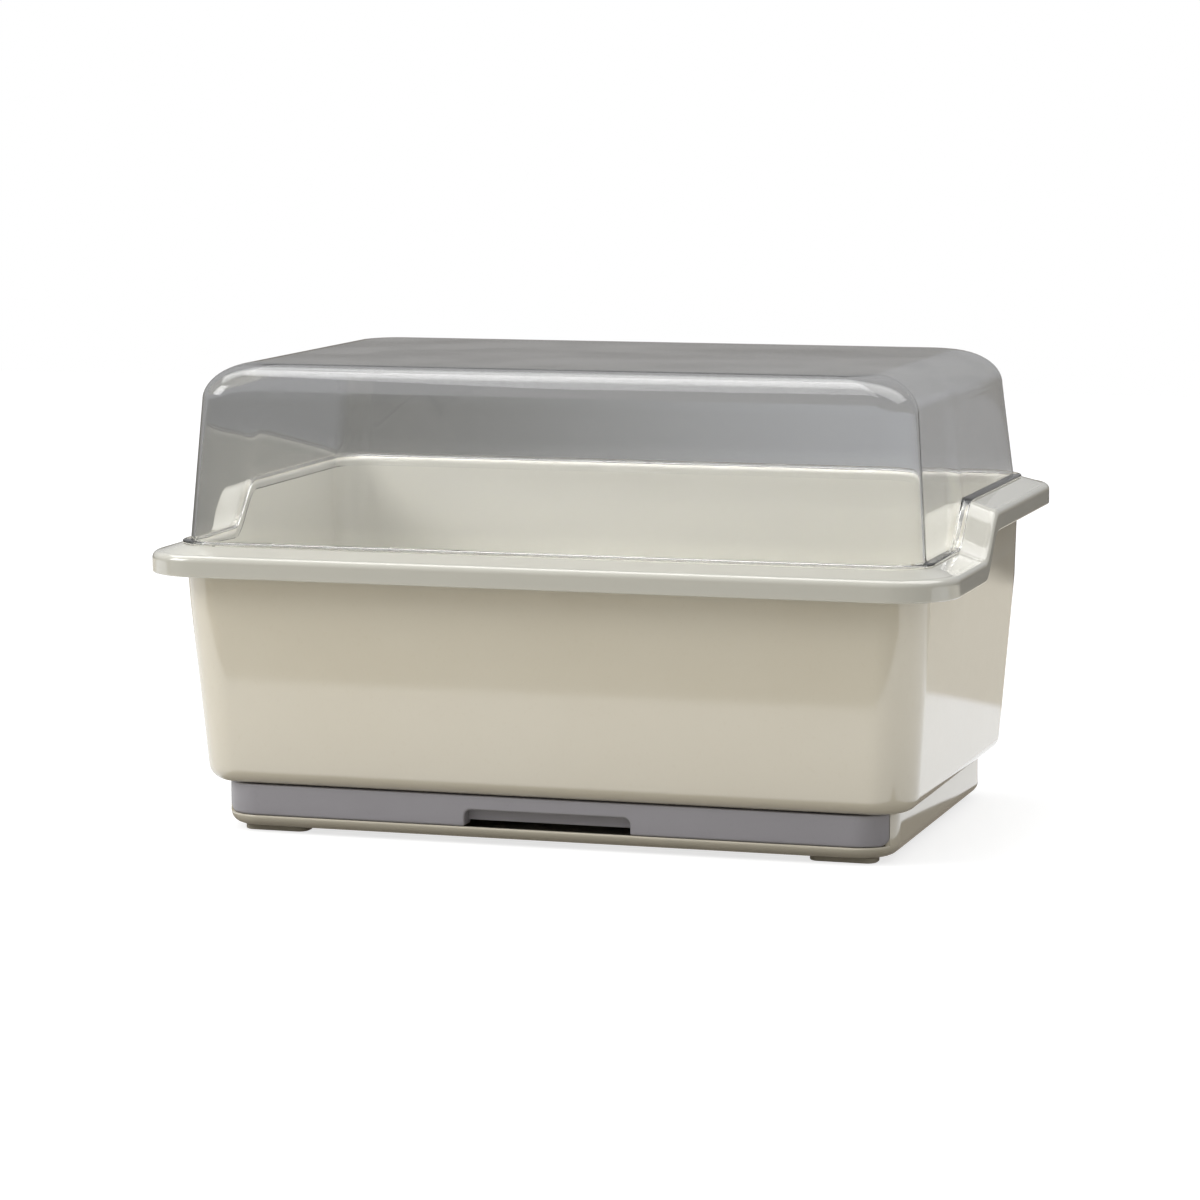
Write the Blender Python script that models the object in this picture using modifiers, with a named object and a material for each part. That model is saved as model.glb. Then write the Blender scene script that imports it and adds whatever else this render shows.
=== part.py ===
"""Covered dish rack: a stepped tub on a base with a pull-out drip tray, under a lift-off lid.

Metres, +Z up, the front faces -Y. The origin is the middle of the footprint, on the ground.
The tub holds three lift-out inserts: a cutlery caddy, a bowl rack and a plate rack.
"""
import math
from collections import namedtuple

import bmesh
import bpy
from mathutils import Matrix, Vector

# Tub: rim, walls and floor
RIM_LENGTH = 0.490
RIM_DEPTH = 0.320
RIM_CORNER = 0.0365
RIM_OVERHANG = 0.0180
RIM_CROWN = 0.004
RIM_ROUND = 0.004
RIM_STEP = 0.0264
RAMP_SETBACK = 0.105
RAMP_RUN = 0.034
RAMP_FOOT_DROP = 0.018
LIP_UNDERSIDE = 0.157
LIP_HEIGHT = 0.0127
TUB_UNDERSIDE = 0.030
TUB_WALL = 0.0025
TUB_CORNER = 0.026
TUB_FILLET = 0.0075
TUB_DRAFT_SHARE = 0.073
DRAIN_LENGTH = 0.030
DRAIN_WIDTH = 0.004
DRAIN_BRIDGE_SIDE = 0.010
DRAIN_BRIDGE_END = 0.022
DRAIN_MARGIN_SIDE = 0.032
DRAIN_MARGIN_END = 0.042

# Base: the skirt under the tub that the tray slides in
BASE_UNDERSIDE = 0.0036
BASE_WALL = 0.0025
BASE_CORNER = 0.0245
BASE_FILLET = 0.0047
BASE_SETBACK_SIDE = 0.0114
BASE_SETBACK_END = 0.0054
SILL_HEIGHT = 0.0072
GUIDE_WALL = 0.002
GUIDE_HEIGHT = 0.014
GUIDE_CLEARANCE = 0.0005
LEDGE_WIDTH = 0.014
BOSS_RADIUS = 0.004
BOSS_CLEARANCE = 0.002

# Drip tray
TRAY_WALL = 0.002
TRAY_CORNER = 0.008
TRAY_FILLET = 0.003
TRAY_LIFT = 0.003
TRAY_TOP_CLEARANCE = 0.002
TRAY_REAR_CLEARANCE = 0.004
PANEL_THICKNESS = 0.012
PANEL_EDGE = 0.0012
PANEL_CORNER = 0.005
PANEL_TOP_CLEARANCE = 0.0006
PULL_WIDTH = 0.102
PULL_TOP_MARGIN = 0.0084
PULL_DEPTH = 0.0085
PULL_CORNER = 0.004
PULL_UNDERCUT = 0.004
PULL_LIP = 0.003
PULL_SLOT = 0.0028

# Lid
LID_TOP = 0.280
LID_WALL = 0.002
LID_SETBACK_SIDE = 0.0211
LID_SETBACK_END = 0.0225
LID_CORNER = 0.020
LID_DRAFT_SHARE = 0.072
LID_ROUND_HEIGHT = 0.022
LID_ROUND_SIDE = 0.030
LID_ROUND_END = 0.020
LID_SKIRT = 0.006
LID_FLANGE_WIDTH = 0.005
LID_FLANGE_THICKNESS = 0.0015

# Inserts that stand on the tub floor
INSERT_SIDE_CLEARANCE = 0.0058
INSERT_END_CLEARANCE = 0.0138
INSERT_SPACING = 0.004
INSERT_WIDTH_SHARES = (0.197, 0.323, 0.480)
CADDY_HEIGHT = 0.092
CADDY_WALL = 0.002
CADDY_CORNER = 0.010
CADDY_FILLET = 0.003
CADDY_DRAFT_SHARE = 0.02
CADDY_FOOT_HEIGHT = 0.003
CADDY_FOOT_WIDTH = 0.004
CADDY_WALL_DROP = 0.012
CADDY_ROOM_SHARES = (0.30, 0.62)
CADDY_SLOT_WIDTH = 0.003
CADDY_SLOT_LENGTH = 0.040
CADDY_SLOT_PITCH = 0.012
BOWL_DECK_HEIGHT = 0.024
BOWL_DECK_THICKNESS = 0.003
BOWL_LEG_THICKNESS = 0.003
BOWL_RIB_HEIGHT = 0.014
BOWL_RIB_THICKNESS = 0.003
BOWL_RIB_ROUND = 0.008
BOWL_RIB_COUNT = 4
BOWL_SLOT_WIDTH = 0.005
BOWL_SLOTS_PER_BAY = 4
PLATE_FIN_TOP = 0.070
PLATE_FIN_BOTTOM = 0.014
PLATE_FIN_THICKNESS = 0.0025
PLATE_FIN_ROUND = 0.018
PLATE_FIN_COUNT = 12
PLATE_LEG_HEIGHT = 0.040
PLATE_LEG_THICKNESS = 0.003
PLATE_BAR_INSET = 0.035
PLATE_BAR_HEIGHT = 0.030
PLATE_BAR_THICKNESS = 0.004
PLATE_BAR_DEPTH = 0.008

# Screws and feet
SCREW_HEAD_RADIUS = 0.0035
SCREW_HEAD_HEIGHT = 0.002
SCREW_HEAD_ROUND = 0.0008
SCREW_SHANK_RADIUS = 0.0016
SCREW_LENGTH = 0.016
SCREW_END_INSET = 0.043
SCREW_ROWS = 3
SCREW_HOLE_CLEARANCE = 0.0004
FOOT_LENGTH = 0.040
FOOT_DEPTH = 0.016
FOOT_CORNER = 0.006
FOOT_INSET_X = 0.0115
FOOT_INSET_Y = 0.0103
FOOT_PEG_RADIUS = 0.0027
FOOT_HOLE_CLEARANCE = 0.0003

# Fits, counts and angles in degrees
SEAT_GAP = 0.0003
OVERRUN = 0.002
WELD_DISTANCE = 0.00002
SMOOTH_ANGLE = 35
EDGE_ANGLE = 45
EDGE_STEPS = 2
CORNER_STEPS = 6
ROUND_STEPS = 3
RAMP_STEPS = 5
CYLINDER_SIDES = 20

# Levels and half sizes that several pieces share
rim_half_x = RIM_LENGTH / 2
rim_half_y = RIM_DEPTH / 2
lip_top = LIP_UNDERSIDE + LIP_HEIGHT
seat_level = lip_top + RIM_CROWN
ramp_start = -rim_half_y + RAMP_SETBACK
floor_level = TUB_UNDERSIDE + TUB_WALL
stand_level = floor_level + SEAT_GAP
foot_inset = RIM_OVERHANG + TUB_DRAFT_SHARE * (LIP_UNDERSIDE - TUB_UNDERSIDE)
base_half_x = rim_half_x - foot_inset - BASE_SETBACK_SIDE
base_rear = rim_half_y - foot_inset - BASE_SETBACK_END
panel_front = -base_rear
panel_rear = panel_front + PANEL_THICKNESS
base_floor = BASE_UNDERSIDE + BASE_WALL
sill_top = BASE_UNDERSIDE + SILL_HEIGHT
tray_underside = sill_top + SEAT_GAP
panel_end_reach = math.sqrt(BASE_CORNER ** 2 - (BASE_CORNER - PANEL_THICKNESS) ** 2)
panel_half_x = base_half_x - BASE_CORNER + panel_end_reach
screw_x = base_half_x - BASE_WALL - BASE_FILLET - BOSS_RADIUS
screw_pitch = 2 * (base_rear - SCREW_END_INSET) / (SCREW_ROWS - 1)
tray_half_x = screw_x - BOSS_RADIUS - BOSS_CLEARANCE - GUIDE_WALL - GUIDE_CLEARANCE
foot_top = BASE_UNDERSIDE - SEAT_GAP
wall_inset = RIM_OVERHANG + TUB_WALL + TUB_FILLET
floor_inset = wall_inset + TUB_DRAFT_SHARE * (LIP_UNDERSIDE - floor_level - TUB_FILLET)
floor_half_x = rim_half_x - floor_inset
floor_half_y = rim_half_y - floor_inset
drain_pitch_x = DRAIN_LENGTH + DRAIN_BRIDGE_SIDE
drain_pitch_y = DRAIN_WIDTH + DRAIN_BRIDGE_END
drain_columns = int((2 * (floor_half_x - DRAIN_MARGIN_SIDE) + DRAIN_BRIDGE_SIDE) / drain_pitch_x)
drain_rows = int((2 * (floor_half_y - DRAIN_MARGIN_END) + DRAIN_BRIDGE_END) / drain_pitch_y)
insert_depth = 2 * (floor_half_y - INSERT_END_CLEARANCE)
insert_room = 2 * (floor_half_x - INSERT_SIDE_CLEARANCE) - INSERT_SPACING * (len(INSERT_WIDTH_SHARES) - 1)
caddy_width, bowl_rack_width, plate_rack_width = [insert_room * share for share in INSERT_WIDTH_SHARES]
caddy_left = INSERT_SIDE_CLEARANCE - floor_half_x
bowl_left = caddy_left + caddy_width + INSERT_SPACING
plate_left = bowl_left + bowl_rack_width + INSERT_SPACING

upright = Matrix.Rotation(math.radians(90), 4, "X")

Section = namedtuple("Section", "half_x half_y corner level lift centre_y", defaults=(0.0, 0.0))


def clear_scene():
    for existing in list(bpy.data.objects):
        bpy.data.objects.remove(existing, do_unlink=True)


def make_collection(name):
    collection = bpy.data.collections.new(name)
    bpy.context.scene.collection.children.link(collection)
    return collection


def make_material(name, color, roughness, alpha=1.0):
    material = bpy.data.materials.new(name)
    material.use_nodes = True
    shader = material.node_tree.nodes["Principled BSDF"]
    shader.inputs["Base Color"].default_value = (*color, 1.0)
    shader.inputs["Roughness"].default_value = roughness
    shader.inputs["Metallic"].default_value = 0.0
    shader.inputs["Alpha"].default_value = alpha
    return material


def add_object(name, mesh, material=None):
    """A named object in the rack's collection, smooth on its round faces."""
    mesh.shade_smooth()
    mesh.set_sharp_from_angle(angle=math.radians(SMOOTH_ANGLE))
    piece = bpy.data.objects.new(name, mesh)
    parts.objects.link(piece)
    piece.data.materials.append(material)
    return piece


def add_tool(name, mesh):
    """A hidden guide solid that cuts or joins another piece."""
    tool = bpy.data.objects.new(name, mesh)
    tools.objects.link(tool)
    tool.hide_render = True
    tool.display_type = "WIRE"
    return tool


def combine(piece, tool, operation):
    modifier = piece.modifiers.new(tool.name, "BOOLEAN")
    modifier.operation = operation
    modifier.solver = "EXACT"
    modifier.object = tool


def give_wall(piece, thickness):
    """The wall lies behind the surface, on the side its faces turn away from."""
    modifier = piece.modifiers.new("wall", "SOLIDIFY")
    modifier.thickness = thickness
    modifier.offset = -1.0
    modifier.use_even_offset = True


def set_pivot(piece, point, parent=None):
    """Move the origin to a point without moving the piece, then hang it on its parent."""
    piece.data.transform(Matrix.Translation(-Vector(point)))
    piece.location = point
    if parent is not None:
        piece.parent = parent
        piece.location = Vector(point) - parent.location


def smooth_share(share):
    share = min(max(share, 0.0), 1.0)
    return share * share * (3.0 - 2.0 * share)


def step_share(y):
    """How much of the rim's step is climbed at a depth y: none at the front, all at the rear."""
    return smooth_share((y - ramp_start) / RAMP_RUN)


def outline(section):
    """A rounded rectangle, anticlockwise, with extra points where its sides climb the ramp."""
    corner = section.corner
    reach_x = section.half_x - corner
    reach_y = section.half_y - corner
    ramp = [ramp_start + RAMP_RUN * step / RAMP_STEPS for step in range(RAMP_STEPS + 1)]
    points = []
    for sign_x, sign_y, start in ((1, -1, -90), (1, 1, 0), (-1, 1, 90), (-1, -1, 180)):
        for step in range(CORNER_STEPS + 1):
            angle = math.radians(start + 90 * step / CORNER_STEPS)
            x = sign_x * reach_x + corner * math.cos(angle)
            y = sign_y * reach_y + corner * math.sin(angle)
            points.append((x, y + section.centre_y))
        if section.lift is not None and (sign_x, sign_y) == (1, -1):
            points.extend((section.half_x, y) for y in ramp)
        if section.lift is not None and (sign_x, sign_y) == (-1, 1):
            points.extend((-section.half_x, y) for y in reversed(ramp))
    return points


def loft(name, sections, closed_ring=False):
    """A surface through stacked outlines, capped on the first one, or a closed ring through them."""
    mesh = bpy.data.meshes.new(name)
    form = bmesh.new()
    rows = []
    for section in sections:
        lift = section.lift or 0.0
        rows.append([form.verts.new((x, y, section.level + RIM_STEP * lift * step_share(y)))
                     for x, y in outline(section)])
    count = len(rows[0])
    pairs = list(zip(rows, rows[1:]))
    if closed_ring:
        pairs.append((rows[-1], rows[0]))
    else:
        form.faces.new(rows[0])
    for near, far in pairs:
        for index in range(count):
            after = (index + 1) % count
            form.faces.new((near[index], far[index], far[after], near[after]))
    form.to_mesh(mesh)
    form.free()
    return mesh


def pan_sections(half_x, half_y, corner, fillet, floor, top, centre_y=0.0, draft_share=0.0):
    """Sections of an open pan's inner surface: flat floor, rounded foot, straight wall."""
    sections = []
    for step in range(ROUND_STEPS + 1):
        angle = math.radians(90 * step / ROUND_STEPS)
        inset = fillet * (1.0 - math.sin(angle))
        sections.append(Section(half_x - inset, half_y - inset, corner - inset,
                                floor + fillet * (1.0 - math.cos(angle)), None, centre_y))
    spread = draft_share * (top - floor - fillet)
    sections.append(Section(half_x + spread, half_y + spread, corner, top, None, centre_y))
    return sections


def boxes(name, corner_pairs):
    """One mesh of separate boxes, each from its lowest and highest corner."""
    mesh = bpy.data.meshes.new(name)
    form = bmesh.new()
    for low, high in corner_pairs:
        low, high = Vector(low), Vector(high)
        size = high - low
        place = Matrix.Translation((low + high) / 2) @ Matrix.Diagonal((*size, 1.0))
        bmesh.ops.create_cube(form, size=1.0, matrix=place)
    form.to_mesh(mesh)
    form.free()
    return mesh


def cylinders(name, centres, radius, bottom, top):
    """One mesh of upright cylinders of one radius, standing at the given x, y places."""
    mesh = bpy.data.meshes.new(name)
    form = bmesh.new()
    for x, y in centres:
        bmesh.ops.create_cone(form, cap_ends=True, segments=CYLINDER_SIDES, radius1=radius, radius2=radius,
                              depth=top - bottom, matrix=Matrix.Translation((x, y, (bottom + top) / 2)))
    form.to_mesh(mesh)
    form.free()
    return mesh


def flat_shape(name, points, thickness):
    """A flat outline with thickness, centred on its own plane, made from a filled 2D curve."""
    curve = bpy.data.curves.new(name, "CURVE")
    curve.dimensions = "2D"
    curve.fill_mode = "BOTH"
    curve.extrude = thickness / 2
    spline = curve.splines.new("POLY")
    spline.points.add(len(points) - 1)
    for point, (x, y) in zip(spline.points, points):
        point.co = (x, y, 0.0, 1.0)
    spline.use_cyclic_u = True
    drawn = bpy.data.objects.new(name, curve)
    tools.objects.link(drawn)
    bpy.context.view_layer.update()
    evaluated = drawn.evaluated_get(bpy.context.evaluated_depsgraph_get())
    mesh = bpy.data.meshes.new_from_object(evaluated)
    form = bmesh.new()
    form.from_mesh(mesh)
    bmesh.ops.remove_doubles(form, verts=form.verts, dist=WELD_DISTANCE)
    bmesh.ops.recalc_face_normals(form, faces=form.faces)
    form.to_mesh(mesh)
    form.free()
    bpy.data.objects.remove(drawn, do_unlink=True)
    return mesh


def copies(name, mesh, places):
    """One mesh that holds a copy of a shape at each place."""
    result = bpy.data.meshes.new(name)
    form = bmesh.new()
    for place in places:
        single = mesh.copy()
        single.transform(place)
        form.from_mesh(single)
        bpy.data.meshes.remove(single)
    form.to_mesh(result)
    form.free()
    return result


def round_top_outline(width, bottom, top, radius):
    """A panel's outline with square feet and rounded top corners."""
    points = [(-width / 2, bottom), (width / 2, bottom)]
    for sign, start in ((1, 0), (-1, 90)):
        for step in range(ROUND_STEPS + 1):
            angle = math.radians(start + 90 * step / ROUND_STEPS)
            points.append((sign * (width / 2 - radius) + radius * math.cos(angle),
                           top - radius + radius * math.sin(angle)))
    return points


def centred_places(count, pitch):
    return [(index - (count - 1) / 2) * pitch for index in range(count)]


def screw_places():
    return [(side * screw_x, y) for side in (-1, 1) for y in centred_places(SCREW_ROWS, screw_pitch)]


def tub_inner_half(half, level):
    """Half length of the tub's inner wall at a level, from half the rim's outer length."""
    return half - RIM_OVERHANG - TUB_WALL - TUB_DRAFT_SHARE * (LIP_UNDERSIDE - min(level, LIP_UNDERSIDE))


def tub_sections():
    """Inner floor, fillet, wall, crowned rim and down-turned lip; the rim follows the step."""
    wall_corner = TUB_CORNER - TUB_WALL
    foot_top_level = floor_level + TUB_FILLET
    foot_x = tub_inner_half(rim_half_x, foot_top_level)
    foot_y = tub_inner_half(rim_half_y, foot_top_level)
    sections = []
    for step in range(ROUND_STEPS + 1):
        angle = math.radians(90 * step / ROUND_STEPS)
        inset = TUB_FILLET * (1.0 - math.sin(angle))
        sections.append(Section(foot_x - inset, foot_y - inset, wall_corner - inset,
                                floor_level + TUB_FILLET * (1.0 - math.cos(angle)), 0.0))
    below_lip = LIP_UNDERSIDE - RAMP_FOOT_DROP
    sections.append(Section(tub_inner_half(rim_half_x, below_lip), tub_inner_half(rim_half_y, below_lip),
                            wall_corner, below_lip, 0.0))
    rim_width = RIM_OVERHANG + TUB_WALL
    for step in range(ROUND_STEPS + 1):
        angle = math.radians(90 * step / ROUND_STEPS)
        out = RIM_ROUND * (1.0 - math.cos(angle))
        corner = wall_corner + (RIM_CORNER - wall_corner) * out / rim_width
        sections.append(Section(rim_half_x - rim_width + out, rim_half_y - rim_width + out, corner,
                                seat_level - RIM_ROUND * (1.0 - math.sin(angle)), 1.0))
    for step in range(ROUND_STEPS + 1):
        angle = math.radians(90 * step / ROUND_STEPS)
        inset = RIM_ROUND * (1.0 - math.sin(angle))
        corner = RIM_CORNER - (RIM_CORNER - wall_corner) * inset / rim_width
        sections.append(Section(rim_half_x - inset, rim_half_y - inset, corner,
                                lip_top - RIM_ROUND * (1.0 - math.cos(angle)), 1.0))
    sections.append(Section(rim_half_x, rim_half_y, RIM_CORNER, LIP_UNDERSIDE, 1.0))
    return sections


def make_tub(material):
    """The cream tub: one moulding, with drain slots in its floor and screw bosses under it."""
    tub = add_object("tub", loft("tub", tub_sections()), material)
    give_wall(tub, TUB_WALL)
    boss_bottom = base_floor + SEAT_GAP
    bosses = cylinders("tub_bosses", screw_places(), BOSS_RADIUS, boss_bottom, TUB_UNDERSIDE + TUB_WALL / 2)
    combine(tub, add_tool("tub_bosses", bosses), "UNION")
    bores = cylinders("tub_boss_bores", screw_places(), SCREW_SHANK_RADIUS + SCREW_HOLE_CLEARANCE,
                      boss_bottom - OVERRUN, foot_top + SCREW_LENGTH + OVERRUN)
    combine(tub, add_tool("tub_boss_bores", bores), "DIFFERENCE")
    slots = []
    for x in centred_places(drain_columns, drain_pitch_x):
        for y in centred_places(drain_rows, drain_pitch_y):
            slots.append(((x - DRAIN_LENGTH / 2, y - DRAIN_WIDTH / 2, TUB_UNDERSIDE - OVERRUN),
                          (x + DRAIN_LENGTH / 2, y + DRAIN_WIDTH / 2, floor_level + OVERRUN)))
    combine(tub, add_tool("tub_drain_slots", boxes("tub_drain_slots", slots)), "DIFFERENCE")
    return tub


def make_base(material):
    """The skirt: a shallow pan, open at the front above its sill, with ledges and guides for the tray."""
    base = add_object("base_frame", loft("base_frame", pan_sections(
        base_half_x - BASE_WALL, base_rear - BASE_WALL, BASE_CORNER - BASE_WALL, BASE_FILLET, base_floor,
        TUB_UNDERSIDE - SEAT_GAP)), material)
    give_wall(base, BASE_WALL)
    mouth = boxes("base_mouth", [((-base_half_x - OVERRUN, panel_front - OVERRUN, sill_top),
                                  (base_half_x + OVERRUN, panel_rear + SEAT_GAP, TUB_UNDERSIDE + OVERRUN))])
    combine(base, add_tool("base_mouth", mouth), "DIFFERENCE")
    run_rear = base_rear - BASE_WALL - BASE_FILLET - SEAT_GAP
    sunk = base_floor - BASE_WALL / 2
    guide_x = tray_half_x + GUIDE_CLEARANCE
    rails = []
    for side in (-1, 1):
        for inner, outer, top, start in (
                (tray_half_x - LEDGE_WIDTH, tray_half_x, sill_top + TRAY_LIFT, panel_rear + GUIDE_WALL),
                (guide_x, guide_x + GUIDE_WALL, base_floor + GUIDE_HEIGHT, panel_rear + GUIDE_WALL)):
            edges = sorted((side * inner, side * outer))
            rails.append(((edges[0], start, sunk), (edges[1], run_rear, top)))
    combine(base, add_tool("base_rails", boxes("base_rails", rails)), "UNION")
    holes = cylinders("base_screw_holes", screw_places(), SCREW_SHANK_RADIUS + SCREW_HOLE_CLEARANCE,
                      BASE_UNDERSIDE - OVERRUN, base_floor + OVERRUN)
    combine(base, add_tool("base_screw_holes", holes), "DIFFERENCE")
    peg_holes = cylinders("base_peg_holes", [foot_place(*corner) for corner in foot_corners()],
                          FOOT_PEG_RADIUS + FOOT_HOLE_CLEARANCE, BASE_UNDERSIDE - OVERRUN,
                          base_floor + OVERRUN)
    combine(base, add_tool("base_peg_holes", peg_holes), "DIFFERENCE")
    return base


def make_tray_pan(material):
    """The grey drip tray's pan, which rides on the base's ledges behind its front panel."""
    rear = base_rear - BASE_WALL - TRAY_REAR_CLEARANCE
    half_y = (rear - panel_rear) / 2 - TRAY_WALL
    pan = add_object("drip_tray", loft("drip_tray", pan_sections(
        tray_half_x - TRAY_WALL, half_y, TRAY_CORNER - TRAY_WALL, TRAY_FILLET,
        tray_underside + TRAY_LIFT + TRAY_WALL, TUB_UNDERSIDE - TRAY_TOP_CLEARANCE,
        (rear + panel_rear) / 2)), material)
    give_wall(pan, TRAY_WALL)
    set_pivot(pan, (0.0, panel_front, tray_underside), tray_slide)
    return pan


def make_tray_front(material):
    """The drip tray's front panel, which wraps round the base's front corners.

    It has a finger pull in its lower edge, with a slot that passes under the pan's raised floor.
    """
    panel_top = TUB_UNDERSIDE - PANEL_TOP_CLEARANCE
    panel_low = tray_underside - OVERRUN
    plan = Section(base_half_x, base_rear, BASE_CORNER, 0.0, None)
    panel_mesh = flat_shape("tray_front", outline(plan), panel_top - panel_low)
    panel_mesh.transform(Matrix.Translation((0.0, 0.0, (panel_top + panel_low) / 2)))
    panel = add_object("tray_front", panel_mesh, material)
    face_points = round_top_outline(2 * panel_half_x, -panel_top - OVERRUN, -tray_underside, PANEL_CORNER)
    face = flat_shape("tray_front_face", face_points, PANEL_THICKNESS - SEAT_GAP + OVERRUN)
    face.transform(Matrix.Translation((0.0, (panel_front - OVERRUN + panel_rear - SEAT_GAP) / 2, 0.0))
                   @ Matrix.Rotation(math.radians(180), 4, "Y") @ upright)
    combine(panel, add_tool("tray_front_face", face), "INTERSECT")
    rounding = panel.modifiers.new("edges", "BEVEL")
    rounding.width = PANEL_EDGE
    rounding.segments = EDGE_STEPS
    rounding.limit_method = "ANGLE"
    rounding.angle_limit = math.radians(EDGE_ANGLE)
    recess_top = panel_top - PULL_TOP_MARGIN
    recess_points = round_top_outline(PULL_WIDTH, tray_underside - OVERRUN, recess_top, PULL_CORNER)
    recess = flat_shape("tray_pull", recess_points, PULL_DEPTH + OVERRUN)
    recess.transform(Matrix.Translation((0.0, panel_front + (PULL_DEPTH - OVERRUN) / 2, 0.0))
                     @ upright)
    combine(panel, add_tool("tray_pull", recess), "DIFFERENCE")
    reach = PULL_WIDTH / 2 - PULL_CORNER
    hook = boxes("tray_pull_undercut", [
        ((-reach, panel_front + PULL_LIP, recess_top - PULL_CORNER),
         (reach, panel_front + PULL_DEPTH, recess_top + PULL_UNDERCUT))])
    combine(panel, add_tool("tray_pull_undercut", hook), "DIFFERENCE")
    slot = boxes("tray_pull_slot", [
        ((-PULL_WIDTH / 2, panel_front - OVERRUN, panel_low),
         (PULL_WIDTH / 2, panel_rear + OVERRUN, tray_underside + PULL_SLOT))])
    combine(panel, add_tool("tray_pull_slot", slot), "DIFFERENCE")
    set_pivot(panel, (0.0, panel_front, tray_underside), tray_slide)
    return panel


def lid_half(half, setback, level):
    """Half length of the lid's outer wall at a level, leaning in by the draft above the rim."""
    return half - setback - LID_DRAFT_SHARE * (level - seat_level)


def lid_sections():
    """Outer surface from the flat top over its rounded edge, down the wall to the skirt in the mouth."""
    round_foot = LID_TOP - LID_ROUND_HEIGHT
    foot_x = lid_half(rim_half_x, LID_SETBACK_SIDE, round_foot)
    foot_y = lid_half(rim_half_y, LID_SETBACK_END, round_foot)
    sections = []
    steps = 2 * ROUND_STEPS
    for step in range(steps + 1):
        angle = math.radians(90 * step / steps)
        in_share = 1.0 - math.sin(angle)
        sections.append(Section(foot_x - LID_ROUND_SIDE * in_share, foot_y - LID_ROUND_END * in_share,
                                LID_CORNER, LID_TOP - LID_ROUND_HEIGHT * (1.0 - math.cos(angle)), 0.0))
    sections.append(Section(rim_half_x - LID_SETBACK_SIDE, rim_half_y - LID_SETBACK_END, LID_CORNER,
                            seat_level + LID_FLANGE_THICKNESS, 1.0))
    sections.append(Section(rim_half_x - LID_SETBACK_SIDE, rim_half_y - LID_SETBACK_END, LID_CORNER,
                            seat_level - LID_SKIRT, 1.0))
    return sections


def make_lid(material):
    """The clear smoke lid: a thin dome whose skirt drops into the tub's mouth, seated on a flange."""
    lid = add_object("lid", loft("lid", lid_sections()), material)
    give_wall(lid, LID_WALL)
    half_x = rim_half_x - LID_SETBACK_SIDE
    half_y = rim_half_y - LID_SETBACK_END
    low = seat_level + SEAT_GAP
    high = low + LID_FLANGE_THICKNESS
    ring = []
    for out, level in ((-LID_WALL / 2, high), (LID_FLANGE_WIDTH, high), (LID_FLANGE_WIDTH, low),
                       (-LID_WALL / 2, low)):
        ring.append(Section(half_x + out, half_y + out, LID_CORNER + out, level, 1.0))
    combine(lid, add_tool("lid_flange", loft("lid_flange", ring, closed_ring=True)), "UNION")
    set_pivot(lid, (0.0, 0.0, seat_level), lid_lift)
    return lid


def make_caddy(material):
    """A tall box for cutlery and chopsticks, in three rooms, with slots in its floor."""
    centre_x = caddy_left + caddy_width / 2
    height = CADDY_HEIGHT - CADDY_FOOT_HEIGHT
    floor = stand_level + CADDY_FOOT_HEIGHT + CADDY_WALL
    spread = CADDY_DRAFT_SHARE * (height - CADDY_WALL - CADDY_FILLET)
    inner_x = caddy_width / 2 - CADDY_WALL - spread
    inner_y = insert_depth / 2 - CADDY_WALL - spread
    top = stand_level + CADDY_HEIGHT
    mesh = loft("cutlery_caddy", pan_sections(inner_x, inner_y, CADDY_CORNER - CADDY_WALL, CADDY_FILLET,
                                              floor, top, draft_share=CADDY_DRAFT_SHARE))
    mesh.transform(Matrix.Translation((centre_x, 0.0, 0.0)))
    caddy = add_object("cutlery_caddy", mesh, material)
    give_wall(caddy, CADDY_WALL)
    walls = []
    for share in CADDY_ROOM_SHARES:
        y = insert_depth * (share - 0.5)
        walls.append(((centre_x - inner_x - CADDY_WALL / 2, y - CADDY_WALL / 2, floor - CADDY_WALL / 2),
                      (centre_x + inner_x + CADDY_WALL / 2, y + CADDY_WALL / 2, top - CADDY_WALL_DROP)))
    combine(caddy, add_tool("caddy_walls", boxes("caddy_walls", walls)), "UNION")
    feet = []
    reach = inner_x - CADDY_FILLET
    for y in (-inner_y / 2, 0.0, inner_y / 2):
        feet.append(((centre_x - reach, y - CADDY_FOOT_WIDTH / 2, stand_level),
                     (centre_x + reach, y + CADDY_FOOT_WIDTH / 2, floor - CADDY_WALL / 2)))
    combine(caddy, add_tool("caddy_feet", boxes("caddy_feet", feet)), "UNION")
    slots = []
    bounds = (-inner_y, *(insert_depth * (share - 0.5) for share in CADDY_ROOM_SHARES), inner_y)
    for near, far in zip(bounds, bounds[1:]):
        count = int((far - near - CADDY_SLOT_PITCH) / CADDY_SLOT_PITCH)
        for offset in centred_places(count, CADDY_SLOT_PITCH):
            y = (near + far) / 2 + offset
            low = (centre_x - CADDY_SLOT_LENGTH / 2, y - CADDY_SLOT_WIDTH / 2, stand_level - OVERRUN)
            high = (centre_x + CADDY_SLOT_LENGTH / 2, y + CADDY_SLOT_WIDTH / 2, floor + OVERRUN)
            slots.append((low, high))
    combine(caddy, add_tool("caddy_slots", boxes("caddy_slots", slots)), "DIFFERENCE")
    set_pivot(caddy, (centre_x, 0.0, stand_level), caddy_lift)
    return caddy


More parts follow.
